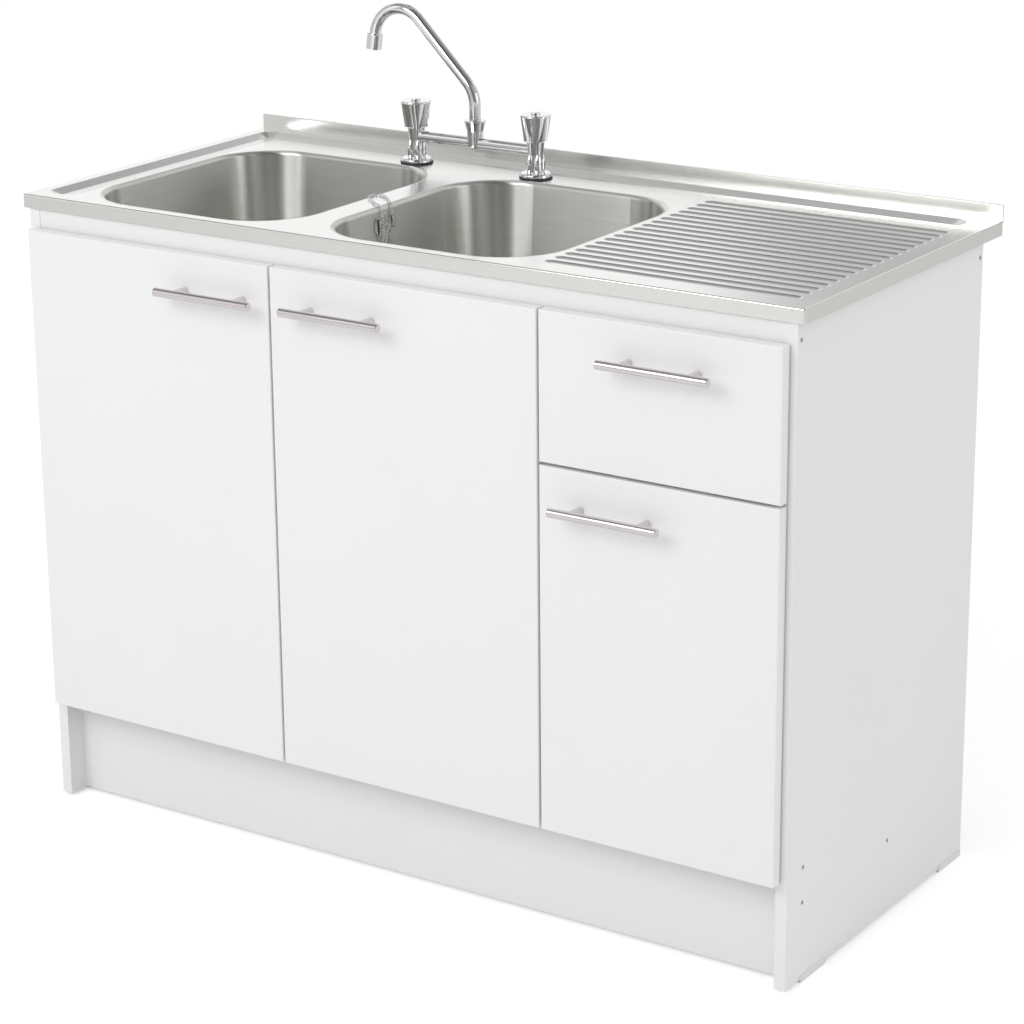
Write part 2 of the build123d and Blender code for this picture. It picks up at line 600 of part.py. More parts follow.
def plug():
    """The rubber plug that lies beside the right waste, with a ring on its top."""
    body = Cone(PLUG_FOOT_RADIUS, PLUG_RADIUS, PLUG_HEIGHT - PLUG_FLANGE_THICK, align=UP)
    flange = Pos(0, 0, PLUG_HEIGHT - PLUG_FLANGE_THICK) * Cylinder(
        PLUG_FLANGE_RADIUS, PLUG_FLANGE_THICK, align=UP
    )
    flange = fillet(flange.edges().group_by(Axis.Z)[-1], PLUG_FLANGE_ROUND)
    eye = Pos(0, 0, PLUG_HEIGHT) * Rot(90, 0, 0) * Torus(CHAIN_EYE_RADIUS, CHAIN_EYE_WIRE)
    return plug_place() * (body + flange + eye)


def plug_place():
    """Where the plug lies on the right bowl's floor."""
    return Pos(RIGHT_BOWL_X - BOWL_WIDTH / 2 + PLUG_FROM_WALL, OVERFLOW_Y + PLUG_FROM_OVERFLOW, BOWL_FLOOR)


def chain_route():
    """The ball chain's route: a hanging bight, over the rim, round a loop and down to the plug."""
    edge = RIGHT_BOWL_X - BOWL_WIDTH / 2
    y = OVERFLOW_Y
    lean = tan(radians(BOWL_DRAFT))
    hanging = [(edge + lean * z + dx, y + dy, TOP_HEIGHT - z) for dx, dy, z in CHAIN_HANGING]
    up = [(edge + dx, y + dy, TOP_HEIGHT - z) for dx, dy, z in CHAIN_UP_RIM]
    loop = [(edge + dx, y + dy, TOP_HEIGHT + BEAD_RADIUS + BEAD_LIFT) for dx, dy in CHAIN_LOOP]
    down = [(edge + dx, y + dy, TOP_HEIGHT - z) for dx, dy, z in CHAIN_DOWN_RIM]
    wall = [(edge + lean * z + dx, y + dy, TOP_HEIGHT - z) for dx, dy, z in CHAIN_DOWN_WALL]
    reach = CHAIN_EYE_RADIUS + BEAD_RADIUS + BEAD_WIRE_RADIUS * 2
    end = plug_place().position + Vector(-reach, 0, PLUG_HEIGHT + BEAD_RADIUS)
    return [*hanging, *up, *loop, *down, *wall, end]


def plug_chain():
    """The ball chain: beads at a steady pitch, each with half a pin on both sides."""
    route = Spline(*chain_route())
    bead = Sphere(BEAD_RADIUS) + Cylinder(BEAD_WIRE_RADIUS, BEAD_PITCH)
    count = int(route.length / BEAD_PITCH)
    beads = []
    for n in range(count + 1):
        place = route.position_at(n * BEAD_PITCH, position_mode=PositionMode.LENGTH)
        ahead = route.tangent_at(n * BEAD_PITCH, position_mode=PositionMode.LENGTH)
        beads.append(Plane(origin=place, z_dir=ahead) * bead)
    return beads


# ---------------------------------------------------------------- bridge tap
def tap_body(x):
    """One pillar of the tap: tail, foot, four leaf-shaped lobes, neck, and the hole for the spindle."""
    foot_z = TOP_HEIGHT + GASKET_THICK
    foot = Pos(x, TAP_Y, foot_z) * Cylinder(TAP_FLANGE_RADIUS, TAP_FLANGE_HEIGHT, align=UP)
    foot = fillet(foot.edges().group_by(Axis.Z)[-1], TAP_FLANGE_ROUND)
    tail = rod((x, TAP_Y, foot_z), (0, 0, -1), TAIL_RADIUS, TAIL_LENGTH - SUPPLY_LENGTH)
    tail = tail + rod((x, TAP_Y, foot_z), (0, 0, -1), SUPPLY_RADIUS, TAIL_LENGTH)
    waist_z = TOP_HEIGHT + WAIST_HEIGHT
    waist = rod((x, TAP_Y, foot_z), (0, 0, 1), WAIST_RADIUS, waist_z - foot_z)
    neck = Pos(x, TAP_Y, waist_z) * Cone(WAIST_RADIUS, NECK_RADIUS, NECK_TOP - WAIST_HEIGHT, align=UP)
    body = foot + tail + waist + neck
    above_foot = box(
        x - GASKET_RADIUS, x + GASKET_RADIUS, TAP_Y - GASKET_RADIUS, TAP_Y + GASKET_RADIUS,
        foot_z, TOP_HEIGHT + NECK_TOP,
    )
    for n in range(LOBE_COUNT):
        turn = Rot(0, 0, LOBE_TURN - 90 + n * 360 / LOBE_COUNT)
        lobe_place = Pos(x, TAP_Y, TOP_HEIGHT + LOBE_MIDDLE) * turn * Pos(LOBE_OFFSET, 0, 0)
        body = body + (lobe_place * leaf_lobe() & above_foot)
    side = 1 if x < TAP_X else -1
    seat = (x + side * (WAIST_RADIUS - BRIDGE_SEAT), TAP_Y, TOP_HEIGHT + BRIDGE_HEIGHT)
    body = body - rod(seat, (side, 0, 0), BRIDGE_RADIUS, BRIDGE_SEAT + LOBE_OFFSET + LOBE_RADIUS)
    body = body - rod(
        (x, TAP_Y, TOP_HEIGHT + SPINDLE_FOOT - SPINDLE_PLAY), (0, 0, 1),
        SPINDLE_RADIUS + SPINDLE_PLAY, NECK_TOP,
    )
    return body


def leaf_lobe():
    """One lobe about its middle: an upright spindle shape, pointed at both ends."""
    bow = ThreePointArc((0, -LOBE_REACH), (LOBE_RADIUS, 0), (0, LOBE_REACH))
    half = make_face([bow, Line((0, LOBE_REACH), (0, -LOBE_REACH))])
    return revolve(Plane.XZ * half, Axis.Z)


def tap_gasket(x):
    """The rubber ring under a pillar."""
    ring = Cylinder(GASKET_RADIUS, GASKET_THICK, align=UP) - Cylinder(TAIL_RADIUS, GASKET_THICK, align=UP)
    return Pos(x, TAP_Y, TOP_HEIGHT) * ring


def tap_backnut(x):
    """The hexagonal nut that holds a pillar from below."""
    nut = extrude(RegularPolygon(BACKNUT_RADIUS, 6), BACKNUT_HEIGHT)
    nut = nut - Cylinder(TAIL_RADIUS, BACKNUT_HEIGHT, align=UP)
    return Pos(x, TAP_Y, SHEET_UNDER - BACKNUT_HEIGHT) * nut


def tap_bridge():
    """The cross tube between the pillars, with the tee that the spout stands in."""
    half = TAP_CENTRES / 2 - WAIST_RADIUS + BRIDGE_SEAT
    start = (TAP_X - half, TAP_Y, TOP_HEIGHT + BRIDGE_HEIGHT)
    tube = rod(start, (1, 0, 0), BRIDGE_RADIUS, 2 * half)
    boss = rod((TAP_X, TAP_Y, TOP_HEIGHT + TEE_BOTTOM), (0, 0, 1), TEE_RADIUS, TEE_SHOULDER - TEE_BOTTOM)
    boss = fillet(boss.edges().group_by(Axis.Z)[0], TEE_ROUND)
    spigot = rod(
        (TAP_X, TAP_Y, TOP_HEIGHT + TEE_SHOULDER), (0, 0, 1),
        TEE_SPIGOT_RADIUS, TEE_SPIGOT_TOP - TEE_SHOULDER,
    )
    bore = rod(
        (TAP_X, TAP_Y, TOP_HEIGHT + BRIDGE_HEIGHT), (0, 0, 1),
        SPOUT_RADIUS + SPOUT_PLAY, COLLAR_TOP,
    )
    return tube + boss + spigot - bore


def tap_collar_nut():
    """The round nut that holds the spout in the tee, flared up to a lip."""
    height = COLLAR_TOP - TEE_SHOULDER
    flare = Cone(COLLAR_RADIUS, COLLAR_LIP_RADIUS, height - COLLAR_LIP, align=UP)
    lip = Pos(0, 0, height - COLLAR_LIP) * Cylinder(COLLAR_LIP_RADIUS, COLLAR_LIP, align=UP)
    lip = fillet(lip.edges().group_by(Axis.Z)[-1], COLLAR_ROUND)
    room = Cylinder(TEE_SPIGOT_RADIUS, TEE_SPIGOT_TOP + COLLAR_ROOM - TEE_SHOULDER, align=UP)
    nut = flare + lip - room - Cylinder(SPOUT_RADIUS + SPOUT_PLAY, COLLAR_TOP, align=UP)
    return Pos(TAP_X, TAP_Y, TOP_HEIGHT + TEE_SHOULDER) * nut


def spout_point(reach, height):
    """A point in the spout's plane: reach towards -X from the tee, height over the surface."""
    return Vector(TAP_X - reach, TAP_Y, TOP_HEIGHT + height)


def spout_path():
    """The middle line of the spout: up, a bend, a sloping run and a hook over to the outlet."""
    lean = radians(SPOUT_LEAN)
    turn_in = SPOUT_BEND_RADIUS * tan(lean / 2)
    hook_z = SPOUT_CORNER_HEIGHT + (HOOK_REACH * cos(lean) - HOOK_RADIUS) / sin(lean)
    tip = radians(HOOK_TIP_ANGLE)
    foot = spout_point(0, SPOUT_FOOT)
    bend_start = spout_point(0, SPOUT_CORNER_HEIGHT - turn_in)
    bend_mid = spout_point(
        SPOUT_BEND_RADIUS * (1 - cos(lean / 2)),
        SPOUT_CORNER_HEIGHT - turn_in + SPOUT_BEND_RADIUS * sin(lean / 2),
    )
    bend_end = spout_point(turn_in * sin(lean), SPOUT_CORNER_HEIGHT + turn_in * cos(lean))
    hook_start = spout_point(HOOK_REACH - HOOK_RADIUS * cos(lean), hook_z + HOOK_RADIUS * sin(lean))
    hook_top = spout_point(HOOK_REACH, hook_z + HOOK_RADIUS)
    hook_end = spout_point(HOOK_REACH + HOOK_RADIUS * cos(tip), hook_z + HOOK_RADIUS * sin(tip))
    seat = hook_end + Vector(-sin(tip), 0, -cos(tip)) * AERATOR_SEAT
    return Wire([
        Line(foot, bend_start),
        ThreePointArc(bend_start, bend_mid, bend_end),
        Line(bend_end, hook_start),
        ThreePointArc(hook_start, hook_top, hook_end),
        Line(hook_end, seat),
    ])


def tap_spout():
    """The swivelling spout: a bent tube with a ring near its foot."""
    path = spout_path()
    outside = sweep(Plane(origin=path @ 0, z_dir=path % 0) * Circle(SPOUT_RADIUS), path=path)
    inside = sweep(Plane(origin=path @ 0, z_dir=path % 0) * Circle(SPOUT_RADIUS - SPOUT_WALL), path=path)
    ring_z = TEE_SPIGOT_TOP + SPOUT_PLAY
    ring = rod(
        spout_point(0, ring_z), (0, 0, 1), SPOUT_RING_RADIUS, COLLAR_ROOM - 2 * SPOUT_PLAY
    )
    return outside + ring - inside


def spout_aerator():
    """The outlet fitting pushed over the end of the spout."""
    path = spout_path()
    along = (path % 1).normalized()
    start = path @ 1 - along * AERATOR_SEAT
    body = rod(start, along, AERATOR_RADIUS, AERATOR_LENGTH)
    body = fillet(body.edges().group_by(Axis.Z)[-1], AERATOR_ROUND)
    body = body - rod(start, along, SPOUT_RADIUS, AERATOR_SEAT)
    return body - rod(start, along, SPOUT_RADIUS - SPOUT_WALL, AERATOR_LENGTH)


def knob(x):
    """A tap head: a tapered body with four lobes, shallowly hollowed between, under a round plate."""
    height = KNOB_HEIGHT - KNOB_PLATE
    head = Cone(KNOB_FOOT_RADIUS, KNOB_RADIUS, height, align=UP)
    lean = atan2(KNOB_RADIUS - KNOB_FOOT_RADIUS, height)
    out = KNOB_FOOT_RADIUS - FLUTE_DEPTH + FLUTE_RADIUS / cos(lean)
    flute = Pos(out, 0, 0) * Rot(0, degrees(lean), 0) * Cylinder(FLUTE_RADIUS, 3 * KNOB_HEIGHT)
    for n in range(LOBE_COUNT):
        head = head - Rot(0, 0, (n + 0.5) * 360 / LOBE_COUNT) * flute
    plate = Pos(0, 0, height) * Cylinder(KNOB_RADIUS + KNOB_PLATE_OVER, KNOB_PLATE, align=UP)
    head = head + fillet(plate.edges().group_by(Axis.Z)[-1], KNOB_ROUND)
    head = Rot(0, 0, KNOB_TURN) * head
    head = head - Cylinder(SPINDLE_RADIUS, SPINDLE_TOP - KNOB_BASE, align=UP)
    head = head - Pos(0, 0, KNOB_HEIGHT - CAP_SEAT) * Cylinder(CAP_RADIUS, CAP_HEIGHT, align=UP)
    return Pos(x, TAP_Y, TOP_HEIGHT + KNOB_BASE) * head


def index_cap(x):
    """The small domed cap set in the top of a tap head."""
    cap = Cylinder(CAP_RADIUS, CAP_HEIGHT, align=UP)
    cap = fillet(cap.edges().group_by(Axis.Z)[-1], CAP_ROUND)
    return Pos(x, TAP_Y, TOP_HEIGHT + KNOB_BASE + KNOB_HEIGHT - CAP_SEAT) * cap


def spindle(x):
    """The shaft that a tap head turns."""
    return rod((x, TAP_Y, TOP_HEIGHT + SPINDLE_FOOT), (0, 0, 1), SPINDLE_RADIUS, SPINDLE_TOP - SPINDLE_FOOT)


# ---------------------------------------------------------------- carcass
def side_panel(side):
    """One end panel: side is -1 for the left and 1 for the right."""
    x0, x1 = sorted((side * X_INSIDE, side * X_SIDE))
    return box(x0, x1, Y_FRONT, Y_CARCASS_BACK, SHOE_SOLE, CARCASS_TOP)


def partition():
    """The upright between the sink cupboard and the drawer side, notched for rails and kick board."""
    board = box(
        X_PARTITION_LEFT, X_PARTITION_RIGHT, Y_FRONT, BACK_FRONT, FLOOR_BOARD_TOP, CARCASS_TOP
    )
    rail_notch = box(
        X_PARTITION_LEFT, X_PARTITION_RIGHT, Y_FRONT, RAIL_BACK, RAIL_BOTTOM, CARCASS_TOP
    )
    toe_space = box(
        X_PARTITION_LEFT, X_PARTITION_RIGHT, Y_FRONT, KICK_BACK, FLOOR_BOARD_TOP, KICK_TOP
    )
    return board - rail_notch - toe_space


def front_top_rail():
    """The upright board under the front of the top."""
    return box(-X_INSIDE, X_INSIDE, RAIL_FRONT, RAIL_BACK, RAIL_BOTTOM, CARCASS_TOP)


def rear_top_rail():
    """The upright board under the back of the top."""
    return box(-X_INSIDE, X_INSIDE, Y_CARCASS_BACK - BOARD, Y_CARCASS_BACK, RAIL_BOTTOM, CARCASS_TOP)


def kick_board():
    """The recessed board behind the toes, up to just behind the doors' lower edges."""
    return box(-X_INSIDE, X_INSIDE, KICK_FRONT, KICK_BACK, KICK_FLOOR_GAP, KICK_TOP)


def bottom_panel():
    """The cupboard floor, behind the kick board."""
    return box(
        -X_INSIDE, X_INSIDE, KICK_BACK, Y_CARCASS_BACK, FLOOR_BOARD_TOP - BOARD, FLOOR_BOARD_TOP
    )


def cross_rail():
    """The flat rail between the drawer and the small door."""
    return box(
        X_PARTITION_RIGHT, X_INSIDE, RAIL_FRONT, RAIL_FRONT + CROSS_RAIL_DEPTH,
        CROSS_RAIL_MID - BOARD / 2, CROSS_RAIL_MID + BOARD / 2,
    )


def back_panel():
    """The thin back, which leaves the upper part open for the pipes."""
    return box(-X_INSIDE, X_INSIDE, BACK_FRONT, BACK_REAR, FLOOR_BOARD_TOP, BACK_TOP)


def underlay_battens():
    """Wooden strips that carry the flat edges of the steel top: front, left and right."""
    front = box(-X_SIDE, X_SIDE, Y_FRONT, Y_FRONT + FRONT_BATTEN_WIDTH, CARCASS_TOP, SHEET_UNDER)
    back = Y_CARCASS_BACK
    left = box(
        -X_SIDE, -X_SIDE + SIDE_BATTEN_WIDTH,
        Y_FRONT + FRONT_BATTEN_WIDTH, back, CARCASS_TOP, SHEET_UNDER,
    )
    right = box(
        X_SIDE - SIDE_BATTEN_WIDTH, X_SIDE,
        Y_FRONT + FRONT_BATTEN_WIDTH, back, CARCASS_TOP, SHEET_UNDER,
    )
    return [front, left, right]


def foot_shoe(side, y):
    """A plastic shoe clipped on a side panel's bottom edge, from y backwards."""
    x0, x1 = sorted((side * X_INSIDE, side * X_SIDE))
    shoe = box(x0 - SHOE_WALL, x1 + SHOE_WALL, y, y + SHOE_LENGTH, 0, SHOE_SOLE + SHOE_LIP)
    return shoe - box(x0, x1, y, y + SHOE_LENGTH, SHOE_SOLE, SHOE_SOLE + SHOE_LIP)


def foot_shoes():
    """All four shoes, near the front and the back of both side panels."""
    front = Y_FRONT + SHOE_FRONT_INSET
    rear = Y_CARCASS_BACK - SHOE_LENGTH - SHOE_REAR_INSET
    return [foot_shoe(side, y) for side in (-1, 1) for y in (front, rear)]


def screw_places():
    """Where the assembly screws enter a side panel, as (y, z)."""
    rail_z = CARCASS_TOP - RAIL_SCREW_DROP
    places = [(RAIL_FRONT + BOARD / 2, rail_z), (Y_CARCASS_BACK - BOARD / 2, rail_z)]
    places += [(KICK_FRONT + BOARD / 2, z) for z in KICK_SCREW_HEIGHTS]
    places.append((Y_FRONT + FLOOR_SCREW_FROM_FRONT, FLOOR_BOARD_TOP - BOARD / 2))
    return places


def carcass_screw(side, y, z):
    """One assembly screw: a flat head let into the panel's face and a shaft into the board."""
    face = side * X_SIDE
    head = rod((face, y, z), (-side, 0, 0), SCREW_HEAD_RADIUS, SCREW_HEAD_HEIGHT)
    shaft = rod((face, y, z), (-side, 0, 0), SCREW_RADIUS, SCREW_LENGTH)
    socket = Plane(origin=(face, y, z), z_dir=(-side, 0, 0)) * extrude(
        RegularPolygon(SCREW_SOCKET, 6), SCREW_HEAD_HEIGHT
    )
    return head + shaft - socket


def carcass_screws():
    """All the assembly screws, the same on both sides."""
    return [carcass_screw(side, y, z) for side in (-1, 1) for y, z in screw_places()]


def screw_holes():
    """The screws' outer shape, to cut from the boards."""
    holes = []
    for side in (-1, 1):
        for y, z in screw_places():
            face = side * X_SIDE
            holes.append(rod((face, y, z), (-side, 0, 0), SCREW_HEAD_RADIUS, SCREW_HEAD_HEIGHT))
            holes.append(rod((face, y, z), (-side, 0, 0), SCREW_RADIUS, SCREW_LENGTH))
    return holes


# ---------------------------------------------------------------- doors, handles and hinges
def front_board(x0, x1, z0, z1):
    """A door or drawer front, with the edges round its face softened."""
    board = box(x0, x1, Y_DOOR_FACE, Y_DOOR_BACK, z0, z1)
    return fillet(board.edges().group_by(Axis.Y)[0], FRONT_EDGE_ROUND)


def bolt_places(x, z):
    """Both bolts of a handle, as (x, z)."""
    return [(x + side * HANDLE_CENTRES / 2, z) for side in (-1, 1)]


def bolt_holes(x, z):
    """Holes for a handle's bolts through a front."""
    return [
        rod((bx, Y_DOOR_BACK, bz), (0, -1, 0), BOLT_RADIUS, DOOR_THICK)
        for bx, bz in bolt_places(x, z)
    ]


def handle(x, z):
    """A bar handle on two posts, with the bolts that hold it from inside."""
    bar_y = Y_DOOR_FACE - HANDLE_REACH + HANDLE_RADIUS
    bar = rod((x - HANDLE_LENGTH / 2, bar_y, z), (1, 0, 0), HANDLE_RADIUS, HANDLE_LENGTH)
    bar = chamfer(bar.edges(), HANDLE_CHAMFER)
    bolts = []
    for bx, bz in bolt_places(x, z):
        post = rod((bx, Y_DOOR_FACE, bz), (0, -1, 0), POST_RADIUS, Y_DOOR_FACE - bar_y)
        seat = rod((bx, Y_DOOR_FACE, bz), (0, -1, 0), BOLT_RADIUS, BOLT_GRIP)
        bar = bar + post - seat
        head = rod((bx, Y_DOOR_BACK, bz), (0, 1, 0), BOLT_HEAD_RADIUS, BOLT_HEAD_HEIGHT)
        shaft = rod((bx, Y_DOOR_BACK, bz), (0, -1, 0), BOLT_RADIUS, DOOR_THICK + BOLT_GRIP)
        bolts.append(head + shaft)
    return [bar, *bolts]


def hinge_point(edge, side, across, inward, z):
    """A point of a hinge: side is 1 where the door is hinged on its left edge, -1 on its right."""
    return Vector(edge + side * across, Y_DOOR_BACK + inward, z)


def hinge_box(edge, side, across, inward, z, height):
    """A block in hinge terms: ranges across and inward, and a height about z."""
    a = hinge_point(edge, side, across[0], inward[0], z)
    b = hinge_point(edge, side, across[1], inward[1], z)
    return box(min(a.X, b.X), max(a.X, b.X), min(a.Y, b.Y), max(a.Y, b.Y), z - height / 2, z + height / 2)


def cup_recess(edge, side, z):
    """The round recess in a door for a hinge cup."""
    return rod(hinge_point(edge, side, CUP_ACROSS, 0, z), (0, -1, 0), CUP_RADIUS, CUP_DEPTH)


def hinge_cup(edge, side, z):
    """A hinge cup: the drawn cup, its flange on the door's back and the pin across it."""
    centre = hinge_point(edge, side, CUP_ACROSS, 0, z)
    cup = rod(centre, (0, -1, 0), CUP_RADIUS, CUP_DEPTH)
    flange = hinge_box(
        edge, side, (CUP_FLANGE_START, CUP_FLANGE_END), (0, CUP_FLANGE_THICK), z, CUP_FLANGE_HEIGHT
    )
    mouth = centre + Vector(0, CUP_FLANGE_THICK, 0)
    room = rod(mouth, (0, -1, 0), CUP_RADIUS - CUP_WALL, CUP_DEPTH + CUP_FLANGE_THICK - CUP_WALL)
    pin = rod(hinge_point(edge, side, *CUP_PIN, z - CUP_RADIUS), (0, 0, 1), PIN_RADIUS, 2 * CUP_RADIUS)
    return cup + flange - room + (pin & cup)


def hinge_link(edge, side, z):
    """The bent link between the arm's pin and the cup's pin."""
    points = [CUP_PIN, *LINK_BENDS, ARM_PIN]
    bottom = z - LINK_HEIGHT / 2
    link = []
    for a, b in zip(points, points[1:]):
        middle = hinge_point(edge, side, (a[0] + b[0]) / 2, (a[1] + b[1]) / 2, bottom)
        turn = degrees(atan2(b[1] - a[1], side * (b[0] - a[0])))
        length = hypot(b[0] - a[0], b[1] - a[1])
        link.append(Pos(*middle) * Rot(0, 0, turn) * Box(length, LINK_THICK, LINK_HEIGHT, align=UP))
    for point in LINK_BENDS:
        link.append(rod(hinge_point(edge, side, *point, bottom), (0, 0, 1), LINK_THICK / 2, LINK_HEIGHT))
    for point in (CUP_PIN, ARM_PIN):
        link.append(rod(hinge_point(edge, side, *point, bottom), (0, 0, 1), KNUCKLE_RADIUS, LINK_HEIGHT))
    solid = link[0].fuse(*link[1:])
    for point in (CUP_PIN, ARM_PIN):
        at = hinge_point(edge, side, *point, bottom)
        solid = solid - rod(at, (0, 0, 1), PIN_RADIUS + PIN_PLAY, LINK_HEIGHT)
    return solid


def hinge_arm(edge, side, z):
    """The arm on the cabinet: mounting plate, channel and the two cheeks with the pin."""
    plate = hinge_box(
        edge, side, (OVERLAY, OVERLAY + PLATE_THICK), (PLATE_START, PLATE_END), z, PLATE_HEIGHT
    )
    across = (OVERLAY + PLATE_THICK, ARM_BODY_ACROSS)
    channel = hinge_box(edge, side, across, (ARM_BODY_START, ARM_BODY_END), z, ARM_BODY_HEIGHT)
    inside = (OVERLAY + PLATE_THICK, ARM_BODY_ACROSS - ARM_WALL)
    hollow = hinge_box(
        edge, side, inside, (ARM_BODY_START, ARM_BODY_END), z, ARM_BODY_HEIGHT - 2 * ARM_WALL
    )
    arm = plate + (channel - hollow)
    half = LINK_HEIGHT / 2 + CHEEK_GAP
    for z0 in (z + half, z - half - CHEEK_THICK):
        nose = rod(hinge_point(edge, side, *ARM_PIN, z0), (0, 0, 1), CHEEK_RADIUS, CHEEK_THICK)
        strip = hinge_box(
            edge, side, (ARM_PIN[0] - CHEEK_RADIUS, ARM_BODY_ACROSS),
            (ARM_PIN[1], ARM_BODY_START + ARM_WALL), z0 + CHEEK_THICK / 2, CHEEK_THICK,
        )
        arm = arm + nose + strip
    pin_half = half + CHEEK_THICK
    return arm + rod(hinge_point(edge, side, *ARM_PIN, z - pin_half), (0, 0, 1), PIN_RADIUS, 2 * pin_half)


def hinge_heights(bottom, top):
    """Heights of a door's two hinges."""
    return bottom + HINGE_FROM_END, top - HINGE_FROM_END


# Each door: name, left and right edge, top edge, hinged edge, hinge side and handle's middle
DOORS = (
    ("left_door", -X_FRONTS, X_LEFT_DOOR_END, FRONT_TOP, 1, X_LEFT_DOOR_END - LEFT_HANDLE_INSET),
    (
        "middle_door", X_MIDDLE_DOOR_START, X_PARTITION_LEFT + OVERLAY,
        FRONT_TOP, -1, X_MIDDLE_DOOR_START + MIDDLE_HANDLE_INSET,
    ),
    ("small_door", X_RIGHT_FRONTS, X_FRONTS, SMALL_DOOR_TOP, -1, X_RIGHT_FRONTS + SMALL_HANDLE_INSET),
)


def save_door(name, left, right, top, side, handle_x):
    """Write a door with its handle, cups and links, and return its hinge arms."""
    edge = left if side == 1 else right
    heights = hinge_heights(FRONT_BOTTOM, top)
    door = front_board(left, right, FRONT_BOTTOM, top)
    door = door - bolt_holes(handle_x, top - HANDLE_DROP)
    door = door - [cup_recess(edge, side, z) for z in heights]
    save(name, door)
    save(f"{name}_handle", *handle(handle_x, top - HANDLE_DROP))
    save(f"{name}_hinge_cups", *[hinge_cup(edge, side, z) for z in heights])
    save(f"{name}_hinge_links", *[hinge_link(edge, side, z) for z in heights])
    return [hinge_arm(edge, side, z) for z in heights]


# ---------------------------------------------------------------- drawer
BOX_LEFT = X_PARTITION_RIGHT + RUNNER_SPACE
BOX_RIGHT = X_INSIDE - RUNNER_SPACE
BOX_BOTTOM = DRAWER_FRONT_BOTTOM + DRAWER_BOX_LIFT
BOX_BACK = Y_DOOR_BACK + DRAWER_DEPTH
RUNNER_BOTTOM = BOX_BOTTOM + RUNNER_LIFT
RUNNER_FRONT = Y_FRONT + RUNNER_SETBACK


def drawer_side(x0):
    """One side of the drawer box from x0, grooved for the bottom on its inner face."""
    board = box(x0, x0 + DRAWER_SIDE_THICK, Y_DOOR_BACK, BOX_BACK, BOX_BOTTOM, BOX_BOTTOM + DRAWER_HEIGHT)
    return board - drawer_bottom()


def drawer_back():
    """The back of the drawer box, between its sides and above the bottom."""
    return box(
        BOX_LEFT + DRAWER_SIDE_THICK, BOX_RIGHT - DRAWER_SIDE_THICK,
        BOX_BACK - DRAWER_SIDE_THICK, BOX_BACK,
        BOX_BOTTOM + DRAWER_BOTTOM_LIFT + DRAWER_BOTTOM_THICK, BOX_BOTTOM + DRAWER_HEIGHT,
    )


def drawer_bottom():
    """The thin bottom, let into grooves in the sides."""
    inset = DRAWER_SIDE_THICK - DRAWER_BOTTOM_GROOVE
    z0 = BOX_BOTTOM + DRAWER_BOTTOM_LIFT
    return box(BOX_LEFT + inset, BOX_RIGHT - inset, Y_DOOR_BACK, BOX_BACK, z0, z0 + DRAWER_BOTTOM_THICK)


def channel(wall_x, into, width, z0, z1, thick, lip):
    """A runner section: a web on a wall and two lips that point away from it."""
    x0, x1 = sorted((wall_x, wall_x + into * width))
    length = DRAWER_DEPTH - RUNNER_BACK_SPARE
    bar = box(x0, x1, RUNNER_FRONT, RUNNER_FRONT + length, z0, z1)
    h0, h1 = sorted((wall_x + into * thick, wall_x + into * 2 * width))
    return bar - box(h0, h1, RUNNER_FRONT, RUNNER_FRONT + length, z0 + lip, z1 - lip)


def cabinet_runners():
    """The outer runners, on the partition and on the right panel."""
    z0, z1 = RUNNER_BOTTOM, RUNNER_BOTTOM + RUNNER_HEIGHT
    return [
        channel(X_PARTITION_RIGHT, 1, RUNNER_LIP, z0, z1, RUNNER_THICK, RUNNER_LIP_THICK),
        channel(X_INSIDE, -1, RUNNER_LIP, z0, z1, RUNNER_THICK, RUNNER_LIP_THICK),
    ]


def drawer_runners():
    """The inner runners, on the drawer's sides, nested in the outer ones."""
    gap = RUNNER_LIP_THICK + RUNNER_PLAY
    z0, z1 = RUNNER_BOTTOM + gap, RUNNER_BOTTOM + RUNNER_HEIGHT - gap
    width = RUNNER_SPACE - RUNNER_THICK - RUNNER_PLAY
    left = channel(BOX_LEFT - width, 1, width, z0, z1, RUNNER_THICK, RUNNER_LIP_THICK)
    right = channel(BOX_RIGHT + width, -1, width, z0, z1, RUNNER_THICK, RUNNER_LIP_THICK)
    return [left, right]


# ---------------------------------------------------------------- every node to its own file
for old in os.listdir("parts"):
    os.remove(os.path.join("parts", old))

TAPS = (("left", TAP_X - TAP_CENTRES / 2), ("right", TAP_X + TAP_CENTRES / 2))

save("sink_top", sink_top())
save("left_bowl", bowl(LEFT_BOWL_X))
save("right_bowl", bowl(RIGHT_BOWL_X) - [overflow_place() * slot for slot in overflow_slots(8 * SHEET)])
save("left_waste", *waste(LEFT_BOWL_X, False))
save("right_waste", *waste(RIGHT_BOWL_X, True))
save("waste_washers", *[waste_washer(x) for x in (LEFT_BOWL_X, RIGHT_BOWL_X)])
save("waste_nuts", *[waste_nut(x) for x in (LEFT_BOWL_X, RIGHT_BOWL_X)])
save("overflow_plate", overflow_plate())
save("overflow_pipe", overflow_pipe())
save("plug", plug())
save("plug_chain", *plug_chain())

save("tap_gaskets", *[tap_gasket(x) for _, x in TAPS])
save("tap_backnuts", *[tap_backnut(x) for _, x in TAPS])
save("tap_bridge", tap_bridge())
save("tap_collar_nut", tap_collar_nut())
save("tap_spout", tap_spout())
save("spout_aerator", spout_aerator())
for name, x in TAPS:
    save(f"tap_{name}_body", tap_body(x))
    save(f"{name}_knob", knob(x))
    save(f"{name}_knob_cap", index_cap(x))
    save(f"{name}_spindle", spindle(x))

